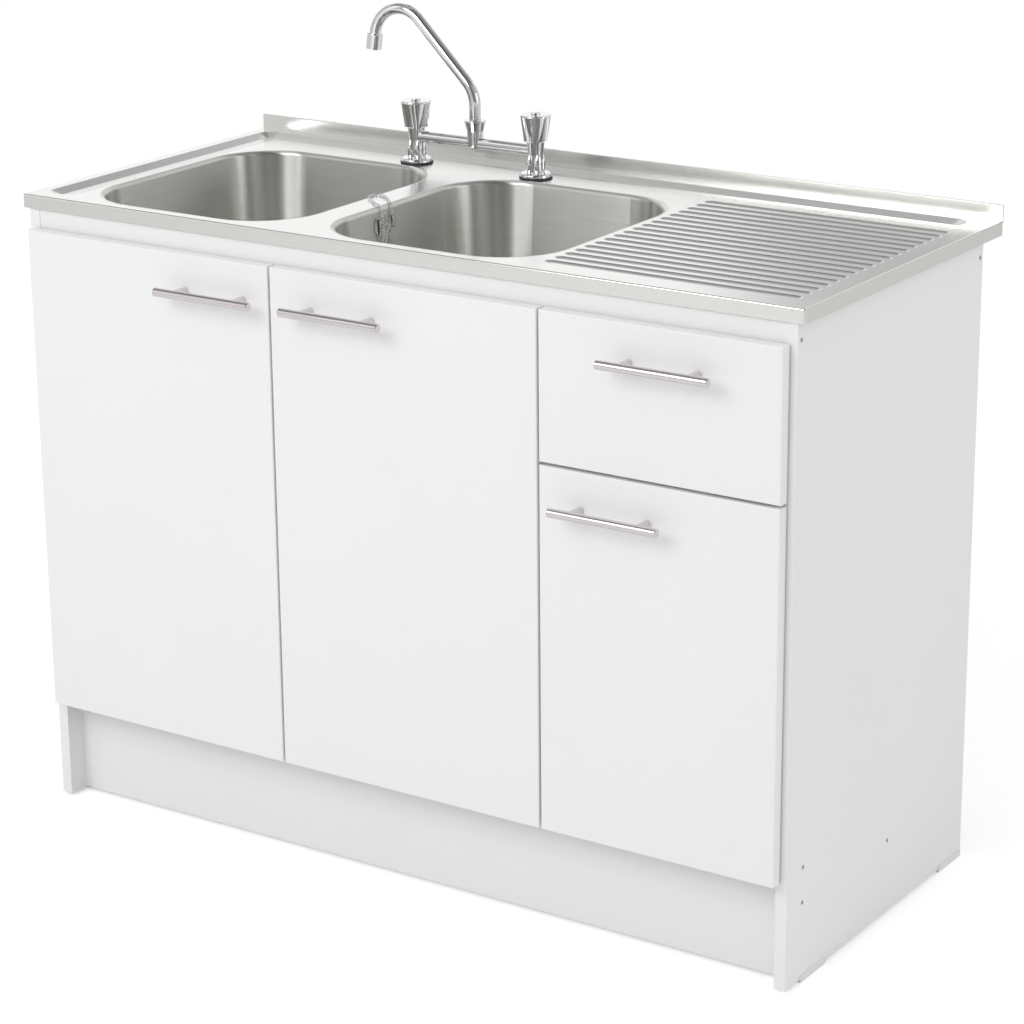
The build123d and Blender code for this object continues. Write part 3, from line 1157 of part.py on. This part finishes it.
holes = screw_holes()
save("left_side_panel", side_panel(-1) - holes)
save("right_side_panel", side_panel(1) - holes)
save("front_top_rail", front_top_rail() - holes)
save("rear_top_rail", rear_top_rail() - holes)
save("kick_board", kick_board() - holes - foot_shoes())
save("bottom_panel", bottom_panel() - holes)
save("partition", partition())
save("cross_rail", cross_rail())
save("back_panel", back_panel())
save("underlay_battens", *underlay_battens())
save("foot_shoes", *foot_shoes())
save("carcass_screws", *carcass_screws())

arms = [save_door(*door) for door in DOORS]
save("hinge_arms", *[arm for pair in arms for arm in pair])

drawer_handle_place = (X_RIGHT_FRONTS + DRAWER_HANDLE_INSET, FRONT_TOP - HANDLE_DROP)
front = front_board(X_RIGHT_FRONTS, X_FRONTS, DRAWER_FRONT_BOTTOM, FRONT_TOP)
save("drawer_front", front - bolt_holes(*drawer_handle_place))
save("drawer_handle", *handle(*drawer_handle_place))
save("drawer_left_side", drawer_side(BOX_LEFT))
save("drawer_right_side", drawer_side(BOX_RIGHT - DRAWER_SIDE_THICK))
save("drawer_back", drawer_back())
save("drawer_bottom", drawer_bottom())
save("drawer_runners", *drawer_runners())
save("cabinet_runners", *cabinet_runners())
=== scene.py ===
from math import cos, pi, radians, sin

import bmesh
import bpy
from mathutils import Matrix, Vector

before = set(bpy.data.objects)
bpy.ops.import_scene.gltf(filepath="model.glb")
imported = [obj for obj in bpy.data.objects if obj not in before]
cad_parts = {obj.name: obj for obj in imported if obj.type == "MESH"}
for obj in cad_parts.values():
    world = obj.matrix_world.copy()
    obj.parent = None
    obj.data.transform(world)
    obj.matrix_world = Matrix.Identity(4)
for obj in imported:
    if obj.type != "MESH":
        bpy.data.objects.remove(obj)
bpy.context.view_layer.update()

bl_info = {
    "name": "Kitchen sink unit looks",
    "version": (1, 0, 0),
    "blender": (4, 5, 0),
    "location": "View3D > Sidebar > Sink unit",
    "description": "Finishes, light and camera for a double-bowl sink unit",
    "category": "Object",
}

DOORS = ("left_door", "middle_door", "small_door")
WORKING_SURFACE = 0.880  # the top's upper face above the floor
TOP_BRUSHING = (1.0, 0.03, -0.25)  # nearly along the top, and square to none of its faces
BOWL_BRUSHING = (0.09, 0.11, 1.0)  # nearly upright, and square to no part of the bowls' floors
# How far under the working surface the painted shade of a pressed part starts, and where it is full
PRESSED_START = 0.00005
PRESSED_DEPTH = 0.0008
# How upright a face is, as the height of its normal, where the painted shade of the rim and upstand
# gives way to the top's colour
UPRIGHT_NORMAL = 0.3
LEVEL_NORMAL = 0.6


# ---------------------------------------------------------------- material helpers
def start_material(name, colour, metallic=0.0, roughness=0.5):
    """A fresh material with its shader, ready for its pattern nodes."""
    material = bpy.data.materials.new(name)
    material.use_nodes = True
    shader = material.node_tree.nodes["Principled BSDF"]
    shader.inputs["Base Color"].default_value = (*colour, 1.0)
    shader.inputs["Metallic"].default_value = metallic
    shader.inputs["Roughness"].default_value = roughness
    return material, shader


def pattern(material, stretch, detail, rough):
    """A noise value on the object's coordinates, as fine along each axis as the stretch says."""
    nodes, links = material.node_tree.nodes, material.node_tree.links
    where = nodes.new("ShaderNodeTexCoord")
    mapping = nodes.new("ShaderNodeMapping")
    mapping.inputs["Scale"].default_value = stretch
    links.new(where.outputs["Object"], mapping.inputs["Vector"])
    texture = nodes.new("ShaderNodeTexNoise")
    texture.inputs["Scale"].default_value = 1.0
    texture.inputs["Detail"].default_value = detail
    texture.inputs["Roughness"].default_value = rough
    links.new(mapping.outputs["Vector"], texture.inputs["Vector"])
    return texture.outputs["Fac"]


def spread(material, value, low, high, start=0.3, end=0.7):
    """A value mapped from its usual range to the wanted one."""
    node = material.node_tree.nodes.new("ShaderNodeMapRange")
    node.inputs["From Min"].default_value = start
    node.inputs["From Max"].default_value = end
    node.inputs["To Min"].default_value = low
    node.inputs["To Max"].default_value = high
    material.node_tree.links.new(value, node.inputs["Value"])
    return node.outputs["Result"]


def combine(material, operation, first, second):
    """Two values, or a value and a number, put together."""
    node = material.node_tree.nodes.new("ShaderNodeMath")
    node.operation = operation
    for socket, value in zip(node.inputs, (first, second)):
        if isinstance(value, (int, float)):
            socket.default_value = value
        else:
            material.node_tree.links.new(value, socket)
    return node.outputs["Value"]


def tint(material, value, dark, light):
    """A colour between two, by a value from 0 to 1."""
    node = material.node_tree.nodes.new("ShaderNodeMix")
    node.data_type = "RGBA"
    node.inputs["A"].default_value = (*dark, 1.0)
    node.inputs["B"].default_value = (*light, 1.0)
    material.node_tree.links.new(value, node.inputs["Factor"])
    return node.outputs["Result"]


def blend(material, value, first, second):
    """A driven colour that turns into a fixed one as a value rises."""
    node = material.node_tree.nodes.new("ShaderNodeMix")
    node.data_type = "RGBA"
    material.node_tree.links.new(value, node.inputs["Factor"])
    material.node_tree.links.new(first, node.inputs["A"])
    node.inputs["B"].default_value = (*second, 1.0)
    return node.outputs["Result"]


def raise_surface(material, shader, value, height):
    """Bump from a value, with its real height in metres."""
    node = material.node_tree.nodes.new("ShaderNodeBump")
    node.inputs["Strength"].default_value = 1.0
    node.inputs["Distance"].default_value = height
    material.node_tree.links.new(value, node.inputs["Height"])
    material.node_tree.links.new(node.outputs["Normal"], shader.inputs["Normal"])


def object_axis(material, output, axis):
    """One axis of the object's own coordinates or normal."""
    nodes, links = material.node_tree.nodes, material.node_tree.links
    where = nodes.new("ShaderNodeTexCoord")
    split = nodes.new("ShaderNodeSeparateXYZ")
    links.new(where.outputs[output], split.inputs["Vector"])
    return split.outputs[axis]


def brush(material, shader, along, amount):
    """Brushing along a direction on the surface, so that reflections are pulled across it."""
    nodes, links = material.node_tree.nodes, material.node_tree.links
    where = nodes.new("ShaderNodeNewGeometry")
    pull = nodes.new("ShaderNodeVectorMath")
    pull.operation = "CROSS_PRODUCT"
    links.new(where.outputs["Normal"], pull.inputs[0])
    pull.inputs[1].default_value = along
    links.new(pull.outputs["Vector"], shader.inputs["Tangent"])
    shader.inputs["Anisotropic"].default_value = amount


def feed(material, value, shader, socket):
    """Drive one socket of the shader."""
    material.node_tree.links.new(value, shader.inputs[socket])


def shade(colour, factor):
    """A colour made darker by one factor."""
    return tuple(channel * factor for channel in colour)


def mottle(material, shader, value, dark, light):
    """Base colour that wanders between two colours with a pattern."""
    feed(material, tint(material, spread(material, value, 0.0, 1.0), dark, light), shader, "Base Color")


# ---------------------------------------------------------------- finishes
def brushed_top_steel(colour, painted_recess_shade_colour, painted_edge_shade_colour, surface):
    """Satin stainless sheet, brushed along the top, with painted shade on its upright edges and in its
    pressed-down gutter and grooves.
    """
    material, shader = start_material("brushed_top_steel", colour, 1.0, 0.25)
    lines = pattern(material, stretch=(5.0, 1300.0, 1300.0), detail=2.0, rough=0.6)
    marks = pattern(material, stretch=(9.0, 9.0, 9.0), detail=4.0, rough=0.6)
    fine = spread(material, lines, 0.15, 0.22)
    rough = combine(material, "ADD", fine, spread(material, marks, -0.01, 0.02))
    feed(material, rough, shader, "Roughness")
    # Painted shade: level faces just under the working surface, in the gutter and the drainer's
    # grooves, take the darker recess colour, a little patchy with the marks.
    height = object_axis(material, "Object", "Z")
    depth = spread(material, height, 1.0, 0.0, surface - PRESSED_DEPTH, surface - PRESSED_START)
    rise = object_axis(material, "Normal", "Z")
    facing_up = spread(material, rise, 0.0, 1.0, UPRIGHT_NORMAL, LEVEL_NORMAL)
    pressed = combine(material, "MULTIPLY", depth, facing_up)
    painted_recess_shade = combine(material, "MULTIPLY", pressed, spread(material, marks, 0.8, 1.0))
    # Painted shade: upright faces, the rim and upstand, take the darker, warmer edge colour.
    upright = spread(material, rise, 1.0, 0.0, UPRIGHT_NORMAL, LEVEL_NORMAL)
    level_colour = tint(material, painted_recess_shade, colour, painted_recess_shade_colour)
    feed(material, blend(material, upright, level_colour, painted_edge_shade_colour), shader, "Base Color")
    raise_surface(material, shader, lines, 0.000008)
    brush(material, shader, TOP_BRUSHING, 0.6)
    return material


def drawn_bowl_steel(name, colour):
    """Stainless steel of a drawn bowl, brushed level round its walls."""
    material, shader = start_material(name, colour, 1.0, 0.3)
    lines = pattern(material, stretch=(7.0, 7.0, 1400.0), detail=2.0, rough=0.6)
    clouds = pattern(material, stretch=(7.0, 7.0, 7.0), detail=2.0, rough=0.5)
    rough = combine(
        material, "ADD", spread(material, lines, 0.29, 0.37), spread(material, clouds, -0.02, 0.02)
    )
    feed(material, rough, shader, "Roughness")
    dark = shade(colour, 0.90)
    mottle(material, shader, lines, dark, colour)
    raise_surface(material, shader, lines, 0.000006)
    brush(material, shader, BOWL_BRUSHING, 0.95)
    shader.inputs["Anisotropic Rotation"].default_value = 0.25
    return material


def bright_chrome(colour):
    """Chrome plate with very faint wipe marks."""
    material, shader = start_material("bright_chrome", colour, 1.0, 0.05)
    wipes = pattern(material, stretch=(60.0, 60.0, 25.0), detail=4.0, rough=0.6)
    feed(material, spread(material, wipes, 0.03, 0.10), shader, "Roughness")
    return material


def dull_chrome(colour):
    """Worn plate of the ball chain and the overflow's cover."""
    material, shader = start_material("dull_chrome", colour, 1.0, 0.16)
    spots = pattern(material, stretch=(220.0, 220.0, 220.0), detail=3.0, rough=0.6)
    feed(material, spread(material, spots, 0.05, 0.14), shader, "Roughness")
    dark = shade(colour, 0.75)
    mottle(material, shader, spots, dark, colour)
    return material


def satin_nickel(colour):
    """Satin nickel of the bar handles, brushed along the bar."""
    material, shader = start_material("satin_nickel", colour, 1.0, 0.2)
    lines = pattern(material, stretch=(8.0, 900.0, 900.0), detail=2.0, rough=0.6)
    feed(material, spread(material, lines, 0.15, 0.24), shader, "Roughness")
    dark = shade(colour, 0.9)
    mottle(material, shader, lines, dark, colour)
    raise_surface(material, shader, lines, 0.000004)
    return material


def zinc_plate(colour):
    """Zinc-plated sheet of hinges, runners and screws."""
    material, shader = start_material("zinc_plate", colour, 1.0, 0.35)
    clouds = pattern(material, stretch=(90.0, 90.0, 90.0), detail=3.0, rough=0.6)
    feed(material, spread(material, clouds, 0.25, 0.42), shader, "Roughness")
    cool = (colour[0] * 0.92, colour[1] * 0.95, colour[2])
    mottle(material, shader, clouds, cool, colour)
    return material


def white_melamine(name, colour, roughness):
    """White melamine-faced board with its very fine pearl texture."""
    material, shader = start_material(name, colour, 0.0, roughness)
    pearl = pattern(material, stretch=(1400.0, 1400.0, 1400.0), detail=1.0, rough=0.5)
    clouds = pattern(material, stretch=(4.0, 4.0, 4.0), detail=3.0, rough=0.6)
    dark = shade(colour, 0.985)
    mottle(material, shader, clouds, dark, colour)
    rough = spread(material, clouds, roughness - 0.03, roughness + 0.04)
    feed(material, rough, shader, "Roughness")
    raise_surface(material, shader, pearl, 0.000012)
    return material


def planed_wood(colour):
    """Pale planed softwood of the battens, its grain along the pieces."""
    material, shader = start_material("planed_wood", colour, 0.0, 0.6)
    grain = pattern(material, stretch=(5.0, 60.0, 120.0), detail=6.0, rough=0.6)
    dark = shade(colour, 0.72)
    mottle(material, shader, grain, dark, colour)
    raise_surface(material, shader, grain, 0.0001)
    return material


def black_rubber(colour):
    """Moulded black rubber, slightly dusty."""
    material, shader = start_material("black_rubber", colour, 0.0, 0.6)
    dust = pattern(material, stretch=(120.0, 120.0, 120.0), detail=4.0, rough=0.6)
    light = tuple(c + 0.02 for c in colour)
    mottle(material, shader, dust, colour, light)
    feed(material, spread(material, dust, 0.5, 0.7), shader, "Roughness")
    raise_surface(material, shader, dust, 0.00003)
    return material


def moulded_plastic(colour):
    """White moulded plastic of the shoes, ring nuts and pipe."""
    material, shader = start_material("moulded_plastic", colour, 0.0, 0.42)
    skin = pattern(material, stretch=(600.0, 600.0, 600.0), detail=2.0, rough=0.5)
    clouds = pattern(material, stretch=(30.0, 30.0, 30.0), detail=2.0, rough=0.5)
    dark = shade(colour, 0.96)
    mottle(material, shader, clouds, dark, colour)
    feed(material, spread(material, clouds, 0.38, 0.5), shader, "Roughness")
    raise_surface(material, shader, skin, 0.00002)
    return material


def paint_nodes(material, *names):
    """Give CAD nodes a finish."""
    for name in names:
        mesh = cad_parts[name].data
        mesh.materials.clear()
        mesh.materials.append(material)


# ---------------------------------------------------------------- sizes and colours
class SinkUnitColours(bpy.types.PropertyGroup):
    """Colours of the unit's finishes, and of the painted shade on the top."""

    top_steel: bpy.props.FloatVectorProperty(
        name="Top steel", description="Colour of the pressed top", subtype="COLOR",
        default=(0.90, 0.90, 0.885), min=0.0, max=1.0,
    )
    # Painted shade: the darker colour put in the top's gutter and grooves.
    pressed_steel: bpy.props.FloatVectorProperty(
        name="Painted recess shade", description="Colour in the top's gutter and grooves", subtype="COLOR",
        default=(0.80, 0.80, 0.79), min=0.0, max=1.0,
    )
    # Painted shade: the darker, warmer colour put on the top's upright rim and upstand.
    painted_edge_shade_steel: bpy.props.FloatVectorProperty(
        name="Painted edge shade", description="Colour of the top's rim and upstand", subtype="COLOR",
        default=(0.79, 0.78, 0.75), min=0.0, max=1.0,
    )
    # Painted shade: the bowls are the same steel as the top, set darker for the shade inside the bowls.
    bowl_steel_with_painted_shade: bpy.props.FloatVectorProperty(
        name="Bowl steel with painted shade", description="Colour of the drawn bowls", subtype="COLOR",
        default=(0.80, 0.795, 0.77), min=0.0, max=1.0,
    )
    chrome: bpy.props.FloatVectorProperty(
        name="Chrome", description="Colour of the tap's chrome", subtype="COLOR",
        default=(0.86, 0.87, 0.88), min=0.0, max=1.0,
    )
    chain: bpy.props.FloatVectorProperty(
        name="Chain", description="Colour of the ball chain and overflow plate", subtype="COLOR",
        default=(0.88, 0.88, 0.89), min=0.0, max=1.0,
    )
    nickel: bpy.props.FloatVectorProperty(
        name="Nickel", description="Colour of the bar handles", subtype="COLOR",
        default=(0.76, 0.71, 0.73), min=0.0, max=1.0,
    )
    zinc: bpy.props.FloatVectorProperty(
        name="Zinc", description="Colour of hinges, runners and screws", subtype="COLOR",
        default=(0.60, 0.61, 0.63), min=0.0, max=1.0,
    )
    board: bpy.props.FloatVectorProperty(
        name="White board", description="Colour of the melamine boards", subtype="COLOR",
        default=(0.86, 0.86, 0.86), min=0.0, max=1.0,
    )
    wood: bpy.props.FloatVectorProperty(
        name="Wood", description="Colour of the battens under the top", subtype="COLOR",
        default=(0.62, 0.46, 0.30), min=0.0, max=1.0,
    )
    rubber: bpy.props.FloatVectorProperty(
        name="Rubber", description="Colour of gaskets and plug", subtype="COLOR",
        default=(0.02, 0.02, 0.02), min=0.0, max=1.0,
    )
    plastic: bpy.props.FloatVectorProperty(
        name="Plastic", description="Colour of shoes, nuts and pipe", subtype="COLOR",
        default=(0.82, 0.82, 0.81), min=0.0, max=1.0,
    )


class SinkStageSizes(bpy.types.PropertyGroup):
    """Where the camera stands and how the stage is lit."""

    camera_place: bpy.props.FloatVectorProperty(
        name="Camera place", description="Camera's position", subtype="TRANSLATION", unit="LENGTH",
        default=(2.2675, -3.3687, 1.7896),
    )
    camera_azimuth: bpy.props.FloatProperty(
        name="Azimuth", description="How far the camera has gone round to the right", unit="ROTATION",
        default=0.5864,
    )
    camera_elevation: bpy.props.FloatProperty(
        name="Elevation", description="How far the camera looks down", unit="ROTATION", default=0.3160,
    )
    camera_roll: bpy.props.FloatProperty(
        name="Roll", description="The camera's tilt about its own axis", unit="ROTATION",
        default=-0.0089,
    )
    camera_lens: bpy.props.FloatProperty(
        name="Lens", description="Focal length for a 36 mm wide picture", unit="CAMERA", default=110.7,
    )
    floor_size: bpy.props.FloatProperty(
        name="Floor", description="Width of the floor", unit="LENGTH", default=30.0,
    )
    sky_strength: bpy.props.FloatProperty(
        name="Room light", description="Level of the even light from all round", default=0.72,
    )
    key_strength: bpy.props.FloatProperty(
        name="Key light", description="Power of the large soft lamp in front", unit="POWER",
        default=58.0,
    )
    side_strength: bpy.props.FloatProperty(
        name="Side light", description="Power of the soft lamp on the right", unit="POWER",
        default=13.0,
    )


# Dark upright bands that polished metal reflects: azimuth and half width in degrees, and level
DARK_BANDS = (
    (304.0, 24.0, 0.30),
    (308.0, 56.0, 0.62),
    (262.0, 5.0, 0.45),
    (212.0, 5.0, 0.40),
    (188.0, 10.0, 0.22),
    (160.0, 4.0, 0.45),
    (350.0, 6.0, 0.35),
    (18.0, 12.0, 0.30),
    (68.0, 7.0, 0.45),
    (43.0, 4.0, 0.60),
    (114.0, 5.0, 0.50),
    (92.0, 3.0, 0.60),
    (237.0, 4.0, 0.50),
)
# The ceiling above them: where it starts and ends as the height of a unit direction, and its level
CEILING_START = 0.55
CEILING_END = 0.78
CEILING_LEVEL = 0.50


# A dark band eases in between these shares of its half width
BAND_OUTER = 1.25
BAND_INNER = 0.75

# ---------------------------------------------------------------- stage
SENSOR_WIDTH = 36.0
FLOOR_LIFT = 0.34  # glow of the floor in the camera's view alone
KEY_LAMP = {"place": (-0.8, -3.6, 3.0), "aim": (0.0, 0.0, 0.5), "width": 2.6, "height": 2.2}
SIDE_LAMP = {"place": (3.6, 0.6, 1.4), "aim": (0.6, 0.0, 0.5), "width": 1.6, "height": 2.0}


# ---------------------------------------------------------------- operators
class SINK_OT_finish_top(bpy.types.Operator):
    """Finish the pressed top"""

    bl_idname = "sink.finish_top"
    bl_label = "Finish top"

    def execute(self, context):
        colours = context.scene.sink_colours
        steel = brushed_top_steel(
            colours.top_steel, colours.pressed_steel, colours.painted_edge_shade_steel, WORKING_SURFACE
        )
        paint_nodes(steel, "sink_top")
        return {"FINISHED"}


class SINK_OT_finish_bowls(bpy.types.Operator):
    """Finish both bowls"""

    bl_idname = "sink.finish_bowls"
    bl_label = "Finish bowls"

    def execute(self, context):
        colours = context.scene.sink_colours
        for name in ("left_bowl", "right_bowl"):
            paint_nodes(drawn_bowl_steel(f"{name}_steel", colours.bowl_steel_with_painted_shade), name)
        return {"FINISHED"}


class SINK_OT_finish_tap(bpy.types.Operator):
    """Finish the tap, wastes, overflow plate and chain"""

    bl_idname = "sink.finish_tap"
    bl_label = "Finish tap and fittings"

    def execute(self, context):
        chrome = bright_chrome(context.scene.sink_colours.chrome)
        paint_nodes(
            chrome, "tap_left_body", "tap_right_body", "tap_bridge", "tap_collar_nut", "tap_spout",
            "spout_aerator", "left_knob", "right_knob", "left_knob_cap", "right_knob_cap",
            "left_waste", "right_waste",
        )
        paint_nodes(dull_chrome(context.scene.sink_colours.chain), "overflow_plate", "plug_chain")
        return {"FINISHED"}


class SINK_OT_finish_hardware(bpy.types.Operator):
    """Finish handles, hinges, runners, screws and spindles"""

    bl_idname = "sink.finish_hardware"
    bl_label = "Finish hardware"

    def execute(self, context):
        colours = context.scene.sink_colours
        nickel = satin_nickel(colours.nickel)
        zinc = zinc_plate(colours.zinc)
        for front in (*DOORS, "drawer"):
            paint_nodes(nickel, f"{front}_handle")
        for door in DOORS:
            paint_nodes(zinc, f"{door}_hinge_cups", f"{door}_hinge_links")
        paint_nodes(
            zinc, "hinge_arms", "cabinet_runners", "drawer_runners", "carcass_screws",
            "left_spindle", "right_spindle", "tap_backnuts",
        )
        return {"FINISHED"}


class SINK_OT_finish_boards(bpy.types.Operator):
    """Finish the carcass boards, fronts and drawer"""

    bl_idname = "sink.finish_boards"
    bl_label = "Finish boards"

    def execute(self, context):
        colours = context.scene.sink_colours
        front = white_melamine("front_melamine", colours.board, 0.34)
        carcass = white_melamine("carcass_melamine", shade(colours.board, 0.99), 0.42)
        paint_nodes(front, *DOORS, "drawer_front")
        paint_nodes(
            carcass, "left_side_panel", "right_side_panel", "partition", "bottom_panel", "kick_board",
            "front_top_rail", "rear_top_rail", "cross_rail", "back_panel", "drawer_left_side",
            "drawer_right_side", "drawer_back", "drawer_bottom",
        )
        paint_nodes(planed_wood(colours.wood), "underlay_battens")
        return {"FINISHED"}


class SINK_OT_finish_soft_parts(bpy.types.Operator):
    """Finish rubber and plastic pieces"""

    bl_idname = "sink.finish_soft_parts"
    bl_label = "Finish rubber and plastic"

    def execute(self, context):
        colours = context.scene.sink_colours
        paint_nodes(black_rubber(colours.rubber), "waste_washers", "tap_gaskets", "plug")
        paint_nodes(moulded_plastic(colours.plastic), "waste_nuts", "overflow_pipe", "foot_shoes")
        return {"FINISHED"}


def ray_mix(nodes, links, ray, usual, special):
    """One world shader for most rays and another for one kind of ray."""
    path = nodes.new("ShaderNodeLightPath")
    mix = nodes.new("ShaderNodeMixShader")
    links.new(path.outputs[ray], mix.inputs["Fac"])
    links.new(usual, mix.inputs[1])
    links.new(special, mix.inputs[2])
    return mix.outputs["Shader"]


def white_background(nodes, strength):
    """An even white background."""
    background = nodes.new("ShaderNodeBackground")
    background.inputs["Color"].default_value = (1.0, 1.0, 1.0, 1.0)
    background.inputs["Strength"].default_value = strength
    return background


def smooth_step(nodes, links, value, start, end, low, high):
    """A value eased from low to high between two marks."""
    node = nodes.new("ShaderNodeMapRange")
    node.interpolation_type = "SMOOTHSTEP"
    node.inputs["From Min"].default_value = start
    node.inputs["From Max"].default_value = end
    node.inputs["To Min"].default_value = low
    node.inputs["To Max"].default_value = high
    links.new(value, node.inputs["Value"])
    return node.outputs["Result"]


def multiply(nodes, links, first, second):
    """Two values multiplied."""
    node = nodes.new("ShaderNodeMath")
    node.operation = "MULTIPLY"
    links.new(first, node.inputs[0])
    links.new(second, node.inputs[1])
    return node.outputs["Value"]


def band_level(nodes, links, across, band):
    """Level of the room with one dark upright band: 1 outside it."""
    azimuth, half_width, level = band
    toward = nodes.new("ShaderNodeVectorMath")
    toward.operation = "DOT_PRODUCT"
    links.new(across, toward.inputs[0])
    toward.inputs[1].default_value = (cos(radians(azimuth)), sin(radians(azimuth)), 0.0)
    outer = cos(radians(half_width * BAND_OUTER))
    inner = cos(radians(half_width * BAND_INNER))
    return smooth_step(nodes, links, toward.outputs["Value"], outer, inner, 1.0, level)


def studio_world(strength):
    """Even room light; metal sees a white room with dark bands and ceiling, the camera plain white."""
    world = bpy.data.worlds.new("studio")
    bpy.context.scene.world = world
    world.use_nodes = True
    nodes, links = world.node_tree.nodes, world.node_tree.links
    nodes.clear()
    where = nodes.new("ShaderNodeTexCoord")
    split = nodes.new("ShaderNodeSeparateXYZ")
    links.new(where.outputs["Generated"], split.inputs["Vector"])
    flat = nodes.new("ShaderNodeVectorMath")
    flat.operation = "MULTIPLY"
    links.new(where.outputs["Generated"], flat.inputs[0])
    flat.inputs[1].default_value = (1.0, 1.0, 0.0)
    across = nodes.new("ShaderNodeVectorMath")
    across.operation = "NORMALIZE"
    links.new(flat.outputs["Vector"], across.inputs[0])
    mirrored = white_background(nodes, 1.0)
    height = split.outputs["Z"]
    seen = smooth_step(nodes, links, height, CEILING_START, CEILING_END, 1.0, CEILING_LEVEL)
    for band in DARK_BANDS:
        seen = multiply(nodes, links, seen, band_level(nodes, links, across.outputs["Vector"], band))
    links.new(seen, mirrored.inputs["Strength"])
    even = white_background(nodes, strength)
    plain = white_background(nodes, 1.0)
    usual, shiny = even.outputs["Background"], mirrored.outputs["Background"]
    lit = ray_mix(nodes, links, "Is Glossy Ray", usual, shiny)
    viewed = ray_mix(nodes, links, "Is Camera Ray", lit, plain.outputs["Background"])
    output = nodes.new("ShaderNodeOutputWorld")
    links.new(viewed, output.inputs["Surface"])


def floor_material():
    """White floor that keeps the unit's shadow and otherwise melts into the white beyond it."""
    material, shader = start_material("studio_floor", (0.9, 0.9, 0.9), 0.0, 0.9)
    nodes, links = material.node_tree.nodes, material.node_tree.links
    shader.inputs["Specular IOR Level"].default_value = 0.0
    path = nodes.new("ShaderNodeLightPath")
    lift = nodes.new("ShaderNodeMath")
    lift.operation = "MULTIPLY"
    lift.inputs[1].default_value = FLOOR_LIFT
    links.new(path.outputs["Is Camera Ray"], lift.inputs[0])
    shader.inputs["Emission Color"].default_value = (1.0, 1.0, 1.0, 1.0)
    links.new(lift.outputs["Value"], shader.inputs["Emission Strength"])
    return material


def soft_lamp(name, place, aim, width, height, power):
    """A large soft rectangular lamp at a place, aimed at a point."""
    lamp = bpy.data.lights.new(name, "AREA")
    lamp.shape = "RECTANGLE"
    lamp.size = width
    lamp.size_y = height
    lamp.energy = power
    holder = bpy.data.objects.new(name, lamp)
    holder.location = place
    holder.rotation_euler = (Vector(aim) - Vector(place)).to_track_quat("-Z", "Y").to_euler()
    bpy.context.scene.collection.objects.link(holder)
    return holder


class SINK_OT_build_stage(bpy.types.Operator):
    """Build the floor, the light and the camera"""

    bl_idname = "sink.build_stage"
    bl_label = "Build stage"

    def execute(self, context):
        sizes = context.scene.sink_stage
        mesh = bpy.data.meshes.new("floor")
        shape = bmesh.new()
        bmesh.ops.create_grid(shape, x_segments=1, y_segments=1, size=sizes.floor_size / 2)
        shape.to_mesh(mesh)
        shape.free()
        mesh.materials.append(floor_material())
        floor = bpy.data.objects.new("floor", mesh)
        context.scene.collection.objects.link(floor)
        studio_world(sizes.sky_strength)
        soft_lamp("key", power=sizes.key_strength, **KEY_LAMP)
        soft_lamp("side", power=sizes.side_strength, **SIDE_LAMP)
        camera = bpy.data.objects.new("camera", bpy.data.cameras.new("camera"))
        context.scene.collection.objects.link(camera)
        turn = (
            Matrix.Rotation(sizes.camera_azimuth, 4, "Z")
            @ Matrix.Rotation(pi / 2 - sizes.camera_elevation, 4, "X")
            @ Matrix.Rotation(sizes.camera_roll, 4, "Z")
        )
        camera.matrix_world = Matrix.Translation(sizes.camera_place) @ turn
        camera.data.lens = sizes.camera_lens
        camera.data.sensor_width = SENSOR_WIDTH
        context.scene.camera = camera
        context.scene.view_settings.view_transform = "Standard"
        return {"FINISHED"}


class SINK_PT_panel(bpy.types.Panel):
    """All steps of the unit's looks"""

    bl_label = "Sink unit"
    bl_idname = "SINK_PT_panel"
    bl_space_type = "VIEW_3D"
    bl_region_type = "UI"
    bl_category = "Sink unit"

    def draw(self, context):
        for operator in OPERATORS:
            self.layout.operator(operator.bl_idname)
        for group in (context.scene.sink_colours, context.scene.sink_stage):
            for name in group.__annotations__:
                self.layout.prop(group, name)


OPERATORS = (
    SINK_OT_finish_top,
    SINK_OT_finish_bowls,
    SINK_OT_finish_tap,
    SINK_OT_finish_hardware,
    SINK_OT_finish_boards,
    SINK_OT_finish_soft_parts,
    SINK_OT_build_stage,
)
CLASSES = (SinkUnitColours, SinkStageSizes, *OPERATORS, SINK_PT_panel)


def register():
    """Add the add-on's classes and its properties."""
    for item in CLASSES:
        bpy.utils.register_class(item)
    bpy.types.Scene.sink_colours = bpy.props.PointerProperty(type=SinkUnitColours)
    bpy.types.Scene.sink_stage = bpy.props.PointerProperty(type=SinkStageSizes)


def unregister():
    """Remove them again."""
    del bpy.types.Scene.sink_stage
    del bpy.types.Scene.sink_colours
    for item in reversed(CLASSES):
        bpy.utils.unregister_class(item)


def main():
    """Register, and make every piece in order."""
    register()
    for operator in OPERATORS:
        group, name = operator.bl_idname.split(".")
        getattr(getattr(bpy.ops, group), name)()


if __name__ == "__main__":
    main()
